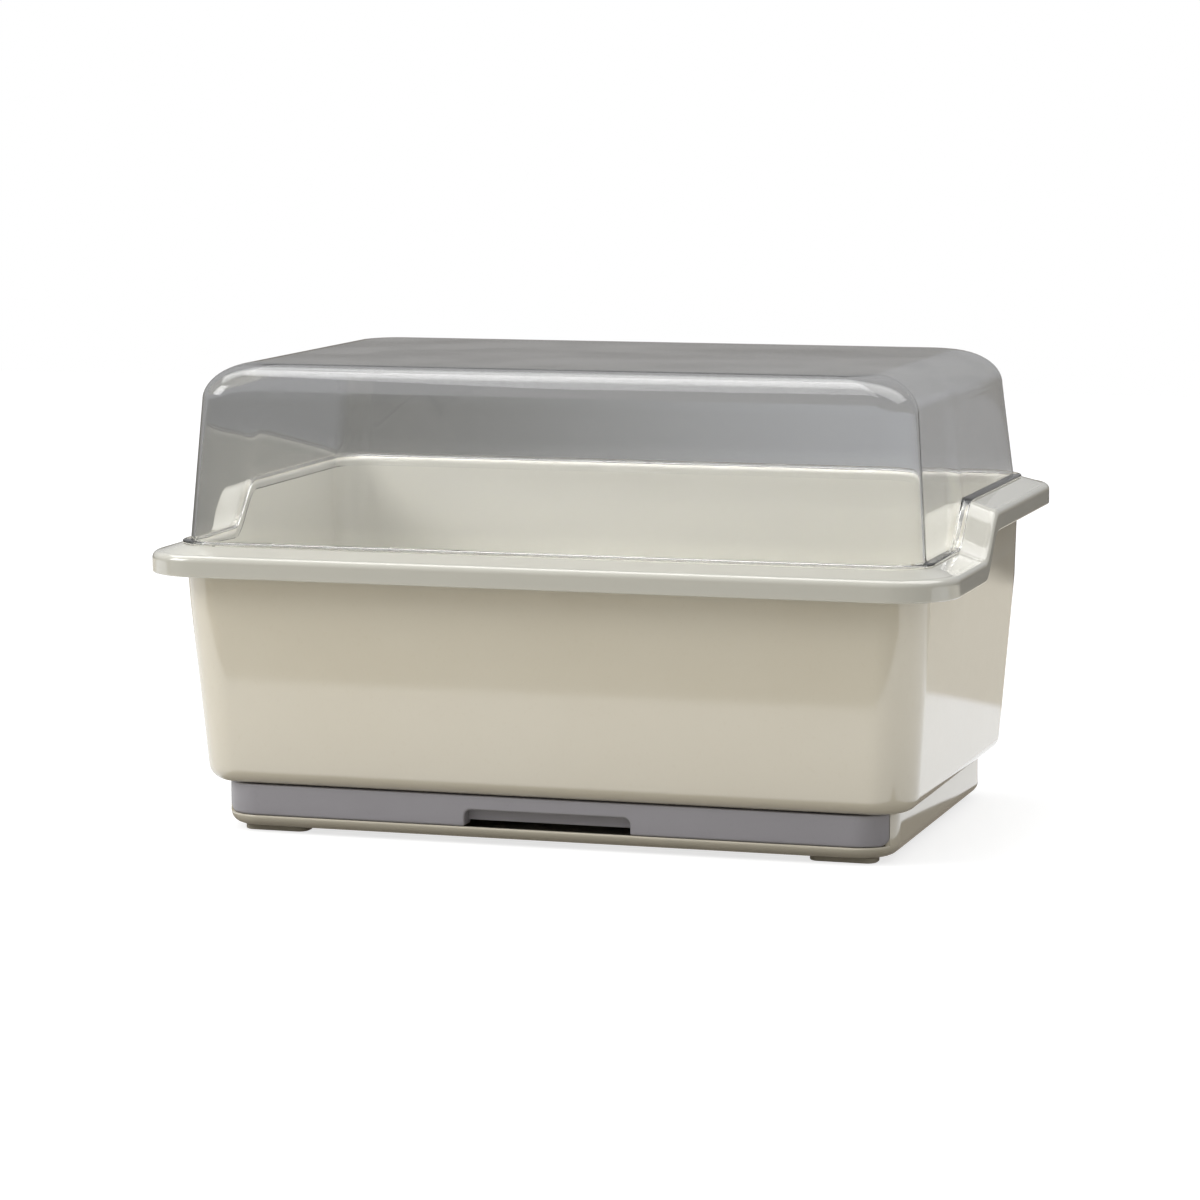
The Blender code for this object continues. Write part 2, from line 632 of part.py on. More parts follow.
def make_bowl_rack(material):
    """A slotted deck on two long legs, with low ribs that keep upturned bowls apart."""
    centre_x = bowl_left + bowl_rack_width / 2
    right = bowl_left + bowl_rack_width
    half_y = insert_depth / 2
    deck_low = stand_level + BOWL_DECK_HEIGHT
    deck_top = deck_low + BOWL_DECK_THICKNESS
    rack = add_object("bowl_rack", boxes("bowl_rack", [
        ((bowl_left, -half_y, deck_low), (right, half_y, deck_top))]), material)
    sunk = deck_low + BOWL_DECK_THICKNESS / 2
    legs = [((bowl_left, -half_y, stand_level), (bowl_left + BOWL_LEG_THICKNESS, half_y, sunk)),
            ((right - BOWL_LEG_THICKNESS, -half_y, stand_level), (right, half_y, sunk))]
    combine(rack, add_tool("bowl_legs", boxes("bowl_legs", legs)), "UNION")
    pitch = (insert_depth - BOWL_RIB_THICKNESS) / (BOWL_RIB_COUNT - 1)
    rib = flat_shape("bowl_rib", round_top_outline(bowl_rack_width, sunk, deck_top + BOWL_RIB_HEIGHT,
                                                   BOWL_RIB_ROUND), BOWL_RIB_THICKNESS)
    places = [Matrix.Translation((centre_x, y, 0.0)) @ upright
              for y in centred_places(BOWL_RIB_COUNT, pitch)]
    combine(rack, add_tool("bowl_ribs", copies("bowl_ribs", rib, places)), "UNION")
    slots = []
    slot_pitch = (pitch - BOWL_RIB_THICKNESS) / BOWL_SLOTS_PER_BAY
    reach = bowl_rack_width / 2 - BOWL_LEG_THICKNESS - BOWL_RIB_ROUND
    for bay_y in centred_places(BOWL_RIB_COUNT - 1, pitch):
        for offset in centred_places(BOWL_SLOTS_PER_BAY, slot_pitch):
            y = bay_y + offset
            slots.append(((centre_x - reach, y - BOWL_SLOT_WIDTH / 2, deck_low - OVERRUN),
                          (centre_x + reach, y + BOWL_SLOT_WIDTH / 2, deck_top + OVERRUN)))
    combine(rack, add_tool("bowl_slots", boxes("bowl_slots", slots)), "DIFFERENCE")
    set_pivot(rack, (centre_x, 0.0, stand_level), bowl_rack_lift)
    return rack


def make_plate_rack(material):
    """A comb of upright fins joined by two long legs and two bars that the plates stand on."""
    centre_x = plate_left + plate_rack_width / 2
    right = plate_left + plate_rack_width
    half_y = insert_depth / 2
    pitch = (insert_depth - PLATE_FIN_THICKNESS) / (PLATE_FIN_COUNT - 1)
    fin = flat_shape("plate_fin", round_top_outline(
        plate_rack_width - PLATE_LEG_THICKNESS, stand_level + PLATE_FIN_BOTTOM, stand_level + PLATE_FIN_TOP,
        PLATE_FIN_ROUND), PLATE_FIN_THICKNESS)
    places = [Matrix.Translation((centre_x, y, 0.0)) @ upright
              for y in centred_places(PLATE_FIN_COUNT, pitch)]
    rack = add_object("plate_rack", copies("plate_rack", fin, places), material)
    long_boxes = [((plate_left, -half_y, stand_level),
                   (plate_left + PLATE_LEG_THICKNESS, half_y, stand_level + PLATE_LEG_HEIGHT)),
                  ((right - PLATE_LEG_THICKNESS, -half_y, stand_level),
                   (right, half_y, stand_level + PLATE_LEG_HEIGHT))]
    bar_top = stand_level + PLATE_BAR_HEIGHT
    for x in (plate_left + PLATE_BAR_INSET, right - PLATE_BAR_INSET):
        long_boxes.append(((x - PLATE_BAR_THICKNESS / 2, -half_y, bar_top - PLATE_BAR_DEPTH),
                           (x + PLATE_BAR_THICKNESS / 2, half_y, bar_top)))
    combine(rack, add_tool("plate_rack_rails", boxes("plate_rack_rails", long_boxes)), "UNION")
    set_pivot(rack, (centre_x, 0.0, stand_level), plate_rack_lift)
    return rack


def make_screw(name, x, y, material):
    """A pan-head screw, driven from below through the base into one of the tub's bosses."""
    head_low = foot_top - SCREW_HEAD_HEIGHT
    tip = foot_top + SCREW_LENGTH
    profile = ((0.0, head_low), (SCREW_HEAD_RADIUS - SCREW_HEAD_ROUND, head_low),
               (SCREW_HEAD_RADIUS, head_low + SCREW_HEAD_ROUND), (SCREW_HEAD_RADIUS, foot_top),
               (SCREW_SHANK_RADIUS, foot_top), (SCREW_SHANK_RADIUS, tip - SCREW_SHANK_RADIUS), (0.0, tip))
    screw = add_object(name, turned(name, profile), material)
    screw.location = (x, y, 0.0)
    return screw


def turned(name, profile):
    """A solid of revolution about Z from a radius and level profile that starts and ends on the axis."""
    mesh = bpy.data.meshes.new(name)
    form = bmesh.new()
    verts = [form.verts.new((radius, 0.0, level)) for radius, level in profile]
    edges = [form.edges.new(pair) for pair in zip(verts, verts[1:])]
    bmesh.ops.spin(form, geom=verts + edges, cent=(0.0, 0.0, 0.0), axis=(0.0, 0.0, 1.0),
                   angle=math.radians(360), steps=CYLINDER_SIDES, use_merge=True)
    bmesh.ops.remove_doubles(form, verts=form.verts, dist=WELD_DISTANCE)
    bmesh.ops.recalc_face_normals(form, faces=form.faces)
    form.to_mesh(mesh)
    form.free()
    return mesh


def foot_corners():
    return [(-1, -1), (1, -1), (-1, 1), (1, 1)]


def foot_place(side_x, side_y):
    """Middle of a foot, set in from the base's corner."""
    return (side_x * (base_half_x - FOOT_INSET_X - FOOT_LENGTH / 2),
            side_y * (base_rear - FOOT_INSET_Y - FOOT_DEPTH / 2))


def make_foot(name, side_x, side_y, material):
    """A soft pad with a peg that pushes up through the base's floor."""
    x, y = foot_place(side_x, side_y)
    pad = Section(FOOT_LENGTH / 2, FOOT_DEPTH / 2, FOOT_CORNER, 0.0, None)
    mesh = flat_shape(name, outline(pad), foot_top)
    mesh.transform(Matrix.Translation((x, y, foot_top / 2)))
    foot = add_object(name, mesh, material)
    peg = cylinders(name + "_peg", [(x, y)], FOOT_PEG_RADIUS, foot_top / 2, base_floor - SEAT_GAP)
    combine(foot, add_tool(name + "_peg", peg), "UNION")
    set_pivot(foot, (x, y, 0.0))
    return foot


def add_pivot(name, point):
    """An empty that stands on a moving piece's axis."""
    pivot = bpy.data.objects.new(name, None)
    pivot.location = point
    parts.objects.link(pivot)
    return pivot


clear_scene()
parts = make_collection("covered_dish_rack")
tools = make_collection("cutters")

cream = make_material("cream_polypropylene", (0.80, 0.78, 0.70), 0.28)
grey = make_material("grey_polypropylene", (0.48, 0.48, 0.50), 0.35)
smoke = make_material("smoke_clear_plastic", (0.30, 0.30, 0.31), 0.06, alpha=0.35)
insert_white = make_material("insert_polypropylene", (0.84, 0.83, 0.78), 0.35)
steel = make_material("screw_steel", (0.60, 0.60, 0.60), 0.35)
soft_cream = make_material("soft_foot_rubber", (0.62, 0.60, 0.52), 0.6)

tray_slide = add_pivot("tray_slide_axis", (0.0, panel_front, tray_underside))
lid_lift = add_pivot("lid_lift_axis", (0.0, 0.0, seat_level))
caddy_lift = add_pivot("caddy_lift_axis", (caddy_left + caddy_width / 2, 0.0, stand_level))
bowl_rack_lift = add_pivot("bowl_rack_lift_axis", (bowl_left + bowl_rack_width / 2, 0.0, stand_level))
plate_rack_lift = add_pivot("plate_rack_lift_axis", (plate_left + plate_rack_width / 2, 0.0, stand_level))

make_tub(cream)
make_base(cream)
make_tray_pan(grey)
make_tray_front(grey)
make_lid(smoke)
make_caddy(insert_white)
make_bowl_rack(insert_white)
make_plate_rack(insert_white)
for number, (x, y) in enumerate(screw_places(), start=1):
    make_screw(f"base_screw_{number}", x, y, steel)
for depth_name, side_y in (("front", -1), ("rear", 1)):
    for side_name, side_x in (("left", -1), ("right", 1)):
        make_foot(f"foot_{depth_name}_{side_name}", side_x, side_y, soft_cream)
bpy.context.view_layer.update()
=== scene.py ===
"""Covered dish rack, dressed for its picture: base, feet, screws, drip tray, tub, three inserts and lid.

Metres, +Z up, the front faces -Y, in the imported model's own frame.
"""
import math

import bmesh
import bpy
import numpy as np
from mathutils import Matrix, Vector
from mathutils.geometry import delaunay_2d_cdt


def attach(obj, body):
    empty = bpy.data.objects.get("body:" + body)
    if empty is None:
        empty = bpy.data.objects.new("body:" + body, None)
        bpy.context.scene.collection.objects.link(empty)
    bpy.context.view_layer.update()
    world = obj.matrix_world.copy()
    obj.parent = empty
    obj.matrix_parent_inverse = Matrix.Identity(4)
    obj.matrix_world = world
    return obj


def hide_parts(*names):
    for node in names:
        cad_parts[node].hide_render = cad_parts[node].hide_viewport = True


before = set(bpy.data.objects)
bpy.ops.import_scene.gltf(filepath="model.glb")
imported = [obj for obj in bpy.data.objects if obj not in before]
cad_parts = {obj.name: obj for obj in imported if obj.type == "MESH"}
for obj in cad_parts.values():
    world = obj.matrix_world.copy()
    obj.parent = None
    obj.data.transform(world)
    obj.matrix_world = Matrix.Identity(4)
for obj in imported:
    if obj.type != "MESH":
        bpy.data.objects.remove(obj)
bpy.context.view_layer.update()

# Camera
# A long lens, a little to the right of the front and a little above the rim, so that the long front wall
# faces the viewer and the right end is seen along its length.
VIEW_TURN = math.radians(17.402)
VIEW_RISE = math.radians(7.669)
VIEW_ROLL = math.radians(-0.2072)
VIEW_DISTANCE = 2.58079
VIEW_LEVEL = 0.130737
VIEW_SHIFT = -0.006328
LENS_MM = 127.092
SENSOR_MM = 36.0

view_right = np.array([math.cos(VIEW_TURN), math.sin(VIEW_TURN), 0.0])
view_back = np.array([math.sin(VIEW_TURN) * math.cos(VIEW_RISE), -math.cos(VIEW_TURN) * math.cos(VIEW_RISE),
                      math.sin(VIEW_RISE)])
view_up = np.cross(view_back, view_right)
level_right = view_right * math.cos(VIEW_ROLL) + view_up * math.sin(VIEW_ROLL)
level_up = np.cross(view_back, level_right)
view_place = np.array([0.0, 0.0, VIEW_LEVEL]) + view_right * VIEW_SHIFT + view_back * VIEW_DISTANCE
camera_data = bpy.data.cameras.new("view_camera")
camera_data.lens = LENS_MM
camera_data.sensor_width = SENSOR_MM
camera = bpy.data.objects.new("view_camera", camera_data)
camera.matrix_world = Matrix([[*row, place] for row, place in
                              zip(np.stack([level_right, level_up, view_back], axis=1), view_place)]
                             + [[0.0, 0.0, 0.0, 1.0]])
bpy.context.scene.collection.objects.link(camera)
bpy.context.scene.camera = camera
bpy.context.scene.view_settings.view_transform = "Standard"

# Base
# The skirt under the tub: one shallow injection-moulded pan in glossy cream polypropylene, open at the front
# above a low sill, with ledges and guide rails for the tray. Six screws from below hold it to the tub.
CREAM = (0.755, 0.70, 0.57)
CREAM_SHADE = (0.715, 0.65, 0.51)
BASE_HALF = (0.206329, 0.127329)
BASE_LOW = 0.0036
BASE_TOP = 0.0297
BASE_WALL = 0.0025
BASE_CORNER = 0.0245
BASE_FILLET = 0.0047
BASE_FLOOR = BASE_LOW + BASE_WALL
SILL_TOP = 0.0108
SILL_ROUND = 0.0006
PANEL_BACK = -0.115329
PANEL_GAP = 0.0003
BREAK_ANGLE = math.radians(30)
TRAY_HALF = 0.186629
LEDGE_WIDTH = 0.014
LEDGE_TOP = 0.0138
GUIDE_GAP = 0.0005
GUIDE_WALL = 0.002
GUIDE_TOP = 0.0201
RUN_REAR = 0.1198
JOIN_DEPTH = 0.001
FLAT_STRETCH = 0.0008
CROWD_SHARE = 0.008
SHARP_ANGLE = math.radians(34.0)
WELD = 0.000002


def ring(corner_steps=14, long_steps=22, side_steps=40):
    """Directions round a rounded rectangle, anticlockwise from the front right corner.

    A column holds (side x, side y, turn x, turn y). The point is side * (half - corner) + corner * turn, so
    corners are quarter circles and sides are straight for any half size. Samples crowd next to the corners.
    """
    pieces = []
    for start, here, there, steps in ((-90, (1, -1), (1, 1), side_steps),
                                      (0, (1, 1), (-1, 1), long_steps),
                                      (90, (-1, 1), (-1, -1), side_steps),
                                      (180, (-1, -1), (1, -1), long_steps)):
        angle = np.radians(start + np.linspace(0, 90, corner_steps + 1))
        pieces.append(np.stack([np.full(angle.size, here[0]), np.full(angle.size, here[1]),
                                np.cos(angle), np.sin(angle)]))
        share = np.concatenate([[CROWD_SHARE], np.linspace(0, 1, steps + 1)[1:-1], [1 - CROWD_SHARE]])
        along = [near + (far - near) * share for near, far in zip(here, there)]
        pieces.append(np.stack([*along, np.full(share.size, np.cos(angle[-1])),
                                np.full(share.size, np.sin(angle[-1]))]))
    return np.concatenate(pieces, axis=1)


def hoops(rows, around, centre=(0.0, 0.0), climb=None):
    """A grid of points, one rounded rectangle per row.

    A row is (half x, half y, corner, level, lift share). The level rises by lift share * climb(x, y).
    """
    half_x, half_y, corner, level, lift = np.array(rows, dtype=float).T[..., None]
    side_x, side_y, turn_x, turn_y = around[:, None, :]
    x = side_x * (half_x - corner) + corner * turn_x
    y = side_y * (half_y - corner) + corner * turn_y
    z = level + (lift * climb(x, y) if climb else 0.0) + 0.0 * x
    return np.stack([x + centre[0], y + centre[1], z], axis=-1)


def skin(grid, cap_first=False, cap_last=False):
    """Vertices and faces of a grid whose columns close into a ring, with flat caps on its ends if wanted."""
    rows, columns = grid.shape[:2]
    index = np.arange(rows * columns).reshape(rows, columns)
    after = np.roll(index, -1, axis=1)
    quads = np.stack([index[:-1], after[:-1], after[1:], index[1:]], axis=-1).reshape(-1, 4).tolist()
    if cap_first:
        quads.append(index[0][::-1].tolist())
    if cap_last:
        quads.append(index[-1].tolist())
    return grid.reshape(-1, 3), quads


def bar(low, high, edge=0.0004, steps=3):
    """A straight bar between two corners with every edge rounded.

    It is a stack of hoops. At either end a hoop's inset from the full size is edge * (1 - sine) and its
    distance from the end is edge * (1 - cosine).
    """
    low, high = np.array(low), np.array(high)
    half = (high - low) / 2
    turn = np.linspace(0, math.pi / 2, steps + 1)
    inset = edge * (1 - np.sin(turn))
    corner = np.maximum(edge - inset, edge / 20)
    near = np.stack([half[0] - inset, half[1] - inset, corner, low[2] + edge * (1 - np.cos(turn)), 0 * turn],
                    axis=1)
    far = near[::-1].copy()
    far[:, 3] = low[2] + high[2] - far[:, 3]
    grid = hoops(np.concatenate([near, far]), ring(steps, 2, 2), (low[:2] + high[:2]) / 2)
    return skin(grid, cap_first=True, cap_last=True)


def pan_rows(half_x, half_y, corner, wall, fillet, floor, top):
    """A thin-walled pan's section: along the floor, up the inside, over a half-round edge, down the outside.

    Half sizes are the outside ones. The inner floor edge turns up on a quarter circle, and the outer one on a
    concentric circle one wall larger. A flat stretch next to either circle keeps the floors' shading flat.
    """
    turn = np.linspace(0, math.pi / 2, 7)
    bend = floor + wall + fillet

    def side(share, out):
        return (half_x + out, half_y + out, corner + out, bend + (top - wall / 2 - bend) * share, 0)

    def foot(radius, t, flat=0.0):
        inset = wall + fillet - radius * math.sin(t) + flat
        return (half_x - inset, half_y - inset, corner - inset, bend - radius * math.cos(t), 0)

    rows = [foot(fillet, 0, FLAT_STRETCH)] + [foot(fillet, t) for t in turn]
    rows += [side(0.06, -wall), side(1, -wall)]
    rows += [side(1, -wall / 2 * (1 + math.cos(t)))[:3] + (top - wall / 2 * (1 - math.sin(t)), 0)
             for t in np.linspace(0, math.pi, 9)[1:-1]]
    rows += [side(1, 0), side(0.06, 0)] + [foot(fillet + wall, t) for t in turn[::-1]]
    return rows + [foot(fillet + wall, 0, FLAT_STRETCH)]


def piece(name, skins, paint, body, replaces):
    """One object from several skins, welded and with its faces turned outwards, that rides on a body."""
    points, faces, count = [], [], 0
    for vertices, polygons in skins:
        points.append(vertices)
        faces.extend([corner + count for corner in polygon] for polygon in polygons)
        count += len(vertices)
    mesh = bpy.data.meshes.new(name)
    mesh.from_pydata(np.concatenate(points).tolist(), [], faces)
    form = bmesh.new()
    form.from_mesh(mesh)
    bmesh.ops.remove_doubles(form, verts=form.verts, dist=WELD)
    bmesh.ops.recalc_face_normals(form, faces=form.faces)
    form.to_mesh(mesh)
    form.free()
    mesh.shade_smooth()
    mesh.set_sharp_from_angle(angle=SHARP_ANGLE)
    mesh.materials.append(paint)
    made = bpy.data.objects.new(name, mesh)
    bpy.context.scene.collection.objects.link(made)
    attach(made, body)
    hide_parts(*replaces)
    return made


class Dye:
    """A value in a finish's node tree. Sums, differences, products and powers of it add Math nodes."""

    def __init__(self, tree, socket):
        self.tree = tree
        self.socket = socket

    def node(self, kind, settings=None, values=None, output=0):
        """Adds a node of a kind, with its settings first, then numbers or other dyes on its sockets."""
        made = self.tree.nodes.new(kind)
        for key, value in (settings or {}).items():
            if key == "stops":
                ramp = made.color_ramp.elements
                while len(ramp) < len(value):
                    ramp.new(0.5)
                for stop, (place, color) in zip(ramp, value):
                    stop.position = place
                    stop.color = (*color, 1.0)
            else:
                setattr(made, key, value)
        for key, value in (values or {}).items():
            if isinstance(value, Dye):
                self.tree.links.new(value.socket, made.inputs[key])
            else:
                made.inputs[key].default_value = value
        return Dye(self.tree, made.outputs[output])

    def math(self, operation, first, second=0.0):
        """A Math node's result for one or two values."""
        return self.node("ShaderNodeMath", {"operation": operation}, {0: first, 1: second})

    def __add__(self, other):
        return self.math("ADD", self, other)

    __radd__ = __add__

    def __mul__(self, other):
        return self.math("MULTIPLY", self, other)

    __rmul__ = __mul__

    def __sub__(self, other):
        return self.math("SUBTRACT", self, other)

    def __rsub__(self, other):
        return self.math("SUBTRACT", other, self)

    def __pow__(self, other):
        return self.math("POWER", self, other)

    def parts(self):
        """The x, y and z of a place."""
        split = self.node("ShaderNodeSeparateXYZ", None, {0: self}).socket.node
        return [Dye(self.tree, output) for output in split.outputs]

    def between(self, low, high):
        """Nothing up to low, all from high on, eased between them."""
        return self.node("ShaderNodeMapRange", {"interpolation_type": "SMOOTHSTEP"},
                         {"Value": self, "From Min": low, "From Max": high})

    def noise(self, scale, detail=2.0):
        """Soft noise at a place, about half on average."""
        return self.node("ShaderNodeTexNoise", None, {"Vector": self, "Scale": scale, "Detail": detail})

    def bump(self, strength, distance):
        """The surface's normal, tilted as if this value were a height."""
        return self.node("ShaderNodeBump", None, {"Strength": strength, "Distance": distance, "Height": self})

    def blend(self, first, second):
        """The first colour where this value is nothing, the second where it is all."""
        values = {0: self, 6: first, 7: second}
        for key in (6, 7):
            if not isinstance(values[key], Dye):
                values[key] = (*values[key], 1.0)
        return self.node("ShaderNodeMix", {"data_type": "RGBA"}, values, 2)

    def into(self, shader, name):
        """Links this value to a shader's input."""
        self.tree.links.new(self.socket, shader.inputs[name])


def finish(name, **constants):
    """A new material, its Principled shader with the constants set, and Object coordinates as a dye."""
    material = bpy.data.materials.new(name)
    material.use_nodes = True
    tree = material.node_tree
    shader = tree.nodes["Principled BSDF"]
    for key, value in constants.items():
        shader.inputs[key.replace("_", " ")].default_value = value
    return material, shader, Dye(tree, tree.nodes.new("ShaderNodeTexCoord").outputs["Object"])


def moulded(name, color, shade, roughness, grain, depth, spread=0.06, polish=0.0, paint_shading=None):
    """Moulded plastic: a faint cloudiness in the colour, handling marks in the gloss, a fine skin texture.

    Polish is the share of a smooth outer layer, which a highly polished mould leaves. The last argument, if
    given, is a function that turns a place and the cloudy colour there into the colour with painted light and
    shade laid on it.
    """
    material, shader, place = finish(name, IOR=1.49, Coat_Weight=polish, Coat_Roughness=0.03,
                                     Coat_IOR=1.62)
    cloud = place.noise(11.0, 3.0)
    speck = place.noise(420.0, 1.0).between(0.60, 0.78)
    tint = (cloud * 0.9 + speck * 0.25 - 0.1).blend(color, shade)
    if paint_shading:
        tint = paint_shading(place, tint)
    tint.into(shader, "Base Color")
    marks = place.noise(34.0, 5.0).between(0.42, 0.72)
    uneven = marks * spread + place.noise(260.0) * spread * 0.5
    (uneven + (roughness - spread * 0.5)).into(shader, "Roughness")
    grain_height = place.noise(grain, 2.0) + place.noise(grain * 0.11, 1.0) * 1.5
    grain_height.bump(0.35, depth).into(shader, "Normal")
    return material


def base_grid(rows):
    """The base's pan, lowered to its sill in front of a plane just behind the tray's panel.

    The plane crosses the front corners. There the arc's angle is stretched on every row, evenly on either
    side of the plane, so that a pair of columns lies in it: one keeps its height and the other drops to the
    sill, whose edge is a low crown across the wall.
    """
    around = ring(12, 22, 40)
    angle = np.arctan2(np.abs(around[3]), np.abs(around[2]))
    pair = np.flatnonzero((around[1] == -1) & np.isclose(angle, BREAK_ANGLE))
    around, angle = np.insert(around, pair, around[:, pair], axis=1), np.insert(angle, pair, angle[pair])
    low = (around[1] == -1) & (angle > BREAK_ANGLE - 0.001)
    low[[pair[0] + 1, pair[1] + 1]] = False
    half_x, half_y, corner, level, _ = np.array(rows, dtype=float).T[..., None]
    cut = np.arcsin((corner - half_y - PANEL_BACK - PANEL_GAP) / corner)
    quarter = math.pi / 2
    stretched = np.where(angle < BREAK_ANGLE, angle * cut / BREAK_ANGLE,
                         quarter - (quarter - angle) * (quarter - cut) / (quarter - BREAK_ANGLE))
    angle = np.where(around[1] == -1, stretched, angle)
    turns = np.abs(around[2:]) > 1e-9
    turn_x = np.copysign(np.cos(angle), around[2]) * turns[0]
    turn_y = np.copysign(np.sin(angle), around[3]) * turns[1]
    x = around[0] * (half_x - corner) + corner * turn_x
    y = around[1] * (half_y - corner) + corner * turn_y
    over = np.clip((level - BASE_TOP) / (BASE_WALL / 2) + 1, 0, 1)
    z = np.where(low, np.minimum(level, SILL_TOP - SILL_ROUND) + SILL_ROUND * over, level)
    return np.stack([x, y, z], axis=-1)


cream = moulded("cream_polypropylene", CREAM, CREAM_SHADE, 0.12, 1100.0, 0.00004, polish=1.0)
base_rows = pan_rows(*BASE_HALF, BASE_CORNER, BASE_WALL, BASE_FILLET, BASE_LOW, BASE_TOP)
base_skins = [skin(base_grid(base_rows), cap_first=True, cap_last=True)]
run_front = PANEL_BACK + GUIDE_WALL
for side in (-1, 1):
    for inner, outer, top in ((TRAY_HALF - LEDGE_WIDTH, TRAY_HALF, LEDGE_TOP),
                              (TRAY_HALF + GUIDE_GAP, TRAY_HALF + GUIDE_GAP + GUIDE_WALL, GUIDE_TOP)):
        near, far = sorted((side * inner, side * outer))
        base_skins.append(bar((near, run_front, BASE_FLOOR - JOIN_DEPTH), (far, RUN_REAR, top)))
piece("base_pan", base_skins, cream, "rack", ["base_frame"])

# Feet
# Four soft rubber pads, pressed with a peg into the base's floor from below. Each has rounded edges and a
# shallow groove round its sole, so that only a rim and a middle land touch the worktop.
RUBBER = (0.58, 0.53, 0.43)
RUBBER_SHADE = (0.52, 0.47, 0.37)
FOOT_HALF = (0.020, 0.008)
FOOT_CORNER = 0.006
FOOT_TOP = 0.0033
FOOT_PLACE = (0.174829, 0.109029)
PEG_RADIUS = 0.0027
SOLE_PROFILE = ((-0.0052, 0.0006), (-0.0048, 0.0006), (-0.0045, 0.0), (-0.0022, 0.0), (-0.0019, 0.0006),
                (-0.0016, 0.0006), (-0.0013, 0.0), (-0.0007, 0.0), (-0.0002, 0.0002), (0.0, 0.0007),
                (0.0, 0.0027), (-0.0002, 0.0031), (-0.0007, FOOT_TOP))
PEG_PROFILE = ((PEG_RADIUS, FOOT_TOP - JOIN_DEPTH), (PEG_RADIUS, 0.0046), (PEG_RADIUS - 0.0003, 0.0052),
               (PEG_RADIUS - 0.0009, 0.0058))


def turned(profile, centre, steps=28):
    """A profile of (radius, level) points turned once round a vertical axis, its ends capped flat."""
    radius, level = np.array(profile, dtype=float).T
    angle = np.linspace(0, 2 * math.pi, steps, endpoint=False)
    grid = np.stack([centre[0] + radius[:, None] * np.cos(angle), centre[1] + radius[:, None] * np.sin(angle),
                     level[:, None] + 0.0 * angle], axis=-1)
    return skin(grid, cap_first=True, cap_last=True)


rubber = moulded("soft_cream_rubber", RUBBER, RUBBER_SHADE, 0.60, 1500.0, 0.00008, 0.12)
for end_name, foot_y in (("front", -FOOT_PLACE[1]), ("rear", FOOT_PLACE[1])):
    for side_name, side in (("left", -1), ("right", 1)):
        foot_centre = (side * FOOT_PLACE[0], foot_y)
        pad = hoops([(FOOT_HALF[0] + out, FOOT_HALF[1] + out, max(FOOT_CORNER + out, 0.0004), level, 0)
                     for out, level in SOLE_PROFILE], ring(8, 6, 4), foot_centre)
        foot_skins = [skin(pad, cap_first=True, cap_last=True), turned(PEG_PROFILE, foot_centre)]
        piece(f"foot_pad_{end_name}_{side_name}", foot_skins, rubber, "rack",
              [f"foot_{end_name}_{side_name}"])

# Screws
# Six zinc-plated pan-head screws with a cross recess, driven from below through the base's floor into the
# tub's bosses. Their thread cuts its own way into the plastic.
SCREW_X = 0.195129
SCREW_Y = 0.084329
SCREW_HEAD_RADIUS = 0.0035
SCREW_HEAD_LOW = 0.0013
SCREW_CROWN = 0.0007
SCREW_RECESS = 0.0012
SCREW_RADIUS = 0.0016
SCREW_TIP = 0.0193
SCREW_TAPER = 0.003
THREAD_PITCH = 0.0012
THREAD_DEPTH = 0.00035


def screw_head(centre):
    """A dome with a cross pressed into it.

    The head faces down, so its level rises outwards with the fourth power of the radius share. The cross
    rises further, near either diagonal, and fades out towards the edge.
    """
    share = np.linspace(0.02, 1, 22)[:, None]
    angle = np.linspace(0, 2 * math.pi, 48, endpoint=False)
    x, y = share * np.cos(angle), share * np.sin(angle)
    cross = np.minimum(np.abs(x + y), np.abs(x - y)) / 0.26
    recess = np.clip(1.6 - 2 * cross, 0, 1) * np.clip((0.62 - share) / 0.22, 0, 1)
    level = SCREW_HEAD_LOW + SCREW_CROWN * share ** 4 + SCREW_RECESS * recess
    grid = np.stack([centre[0] + SCREW_HEAD_RADIUS * x, centre[1] + SCREW_HEAD_RADIUS * y, level], axis=-1)
    back = np.array([[SCREW_HEAD_RADIUS, FOOT_TOP - 0.0001], [SCREW_RADIUS, FOOT_TOP]])
    rear = np.stack([centre[0] + back[:, :1] * np.cos(angle), centre[1] + back[:, :1] * np.sin(angle),
                     back[:, 1:] + 0.0 * angle], axis=-1)
    return skin(np.concatenate([grid, rear]), cap_first=True, cap_last=True)


def screw_shank(centre):
    """A threaded pin.

    The radius is the core plus a ridge that peaks once per pitch along the axis and advances one pitch per
    turn. Core and ridge taper to the tip.
    """
    level = np.linspace(FOOT_TOP - 0.0002, SCREW_TIP, 96)[:, None]
    angle = np.linspace(0, 2 * math.pi, 20, endpoint=False)
    phase = (level / THREAD_PITCH - angle / (2 * math.pi)) % 1.0
    ridge = np.clip(1 - np.abs(phase - 0.5) * 3.2, 0, 1)
    taper = np.clip((SCREW_TIP - level) / SCREW_TAPER, 0.04, 1)
    radius = (SCREW_RADIUS - THREAD_DEPTH + THREAD_DEPTH * ridge) * taper
    grid = np.stack([centre[0] + radius * np.cos(angle), centre[1] + radius * np.sin(angle),
                     level + 0.0 * angle], axis=-1)
    return skin(grid, cap_first=True, cap_last=True)


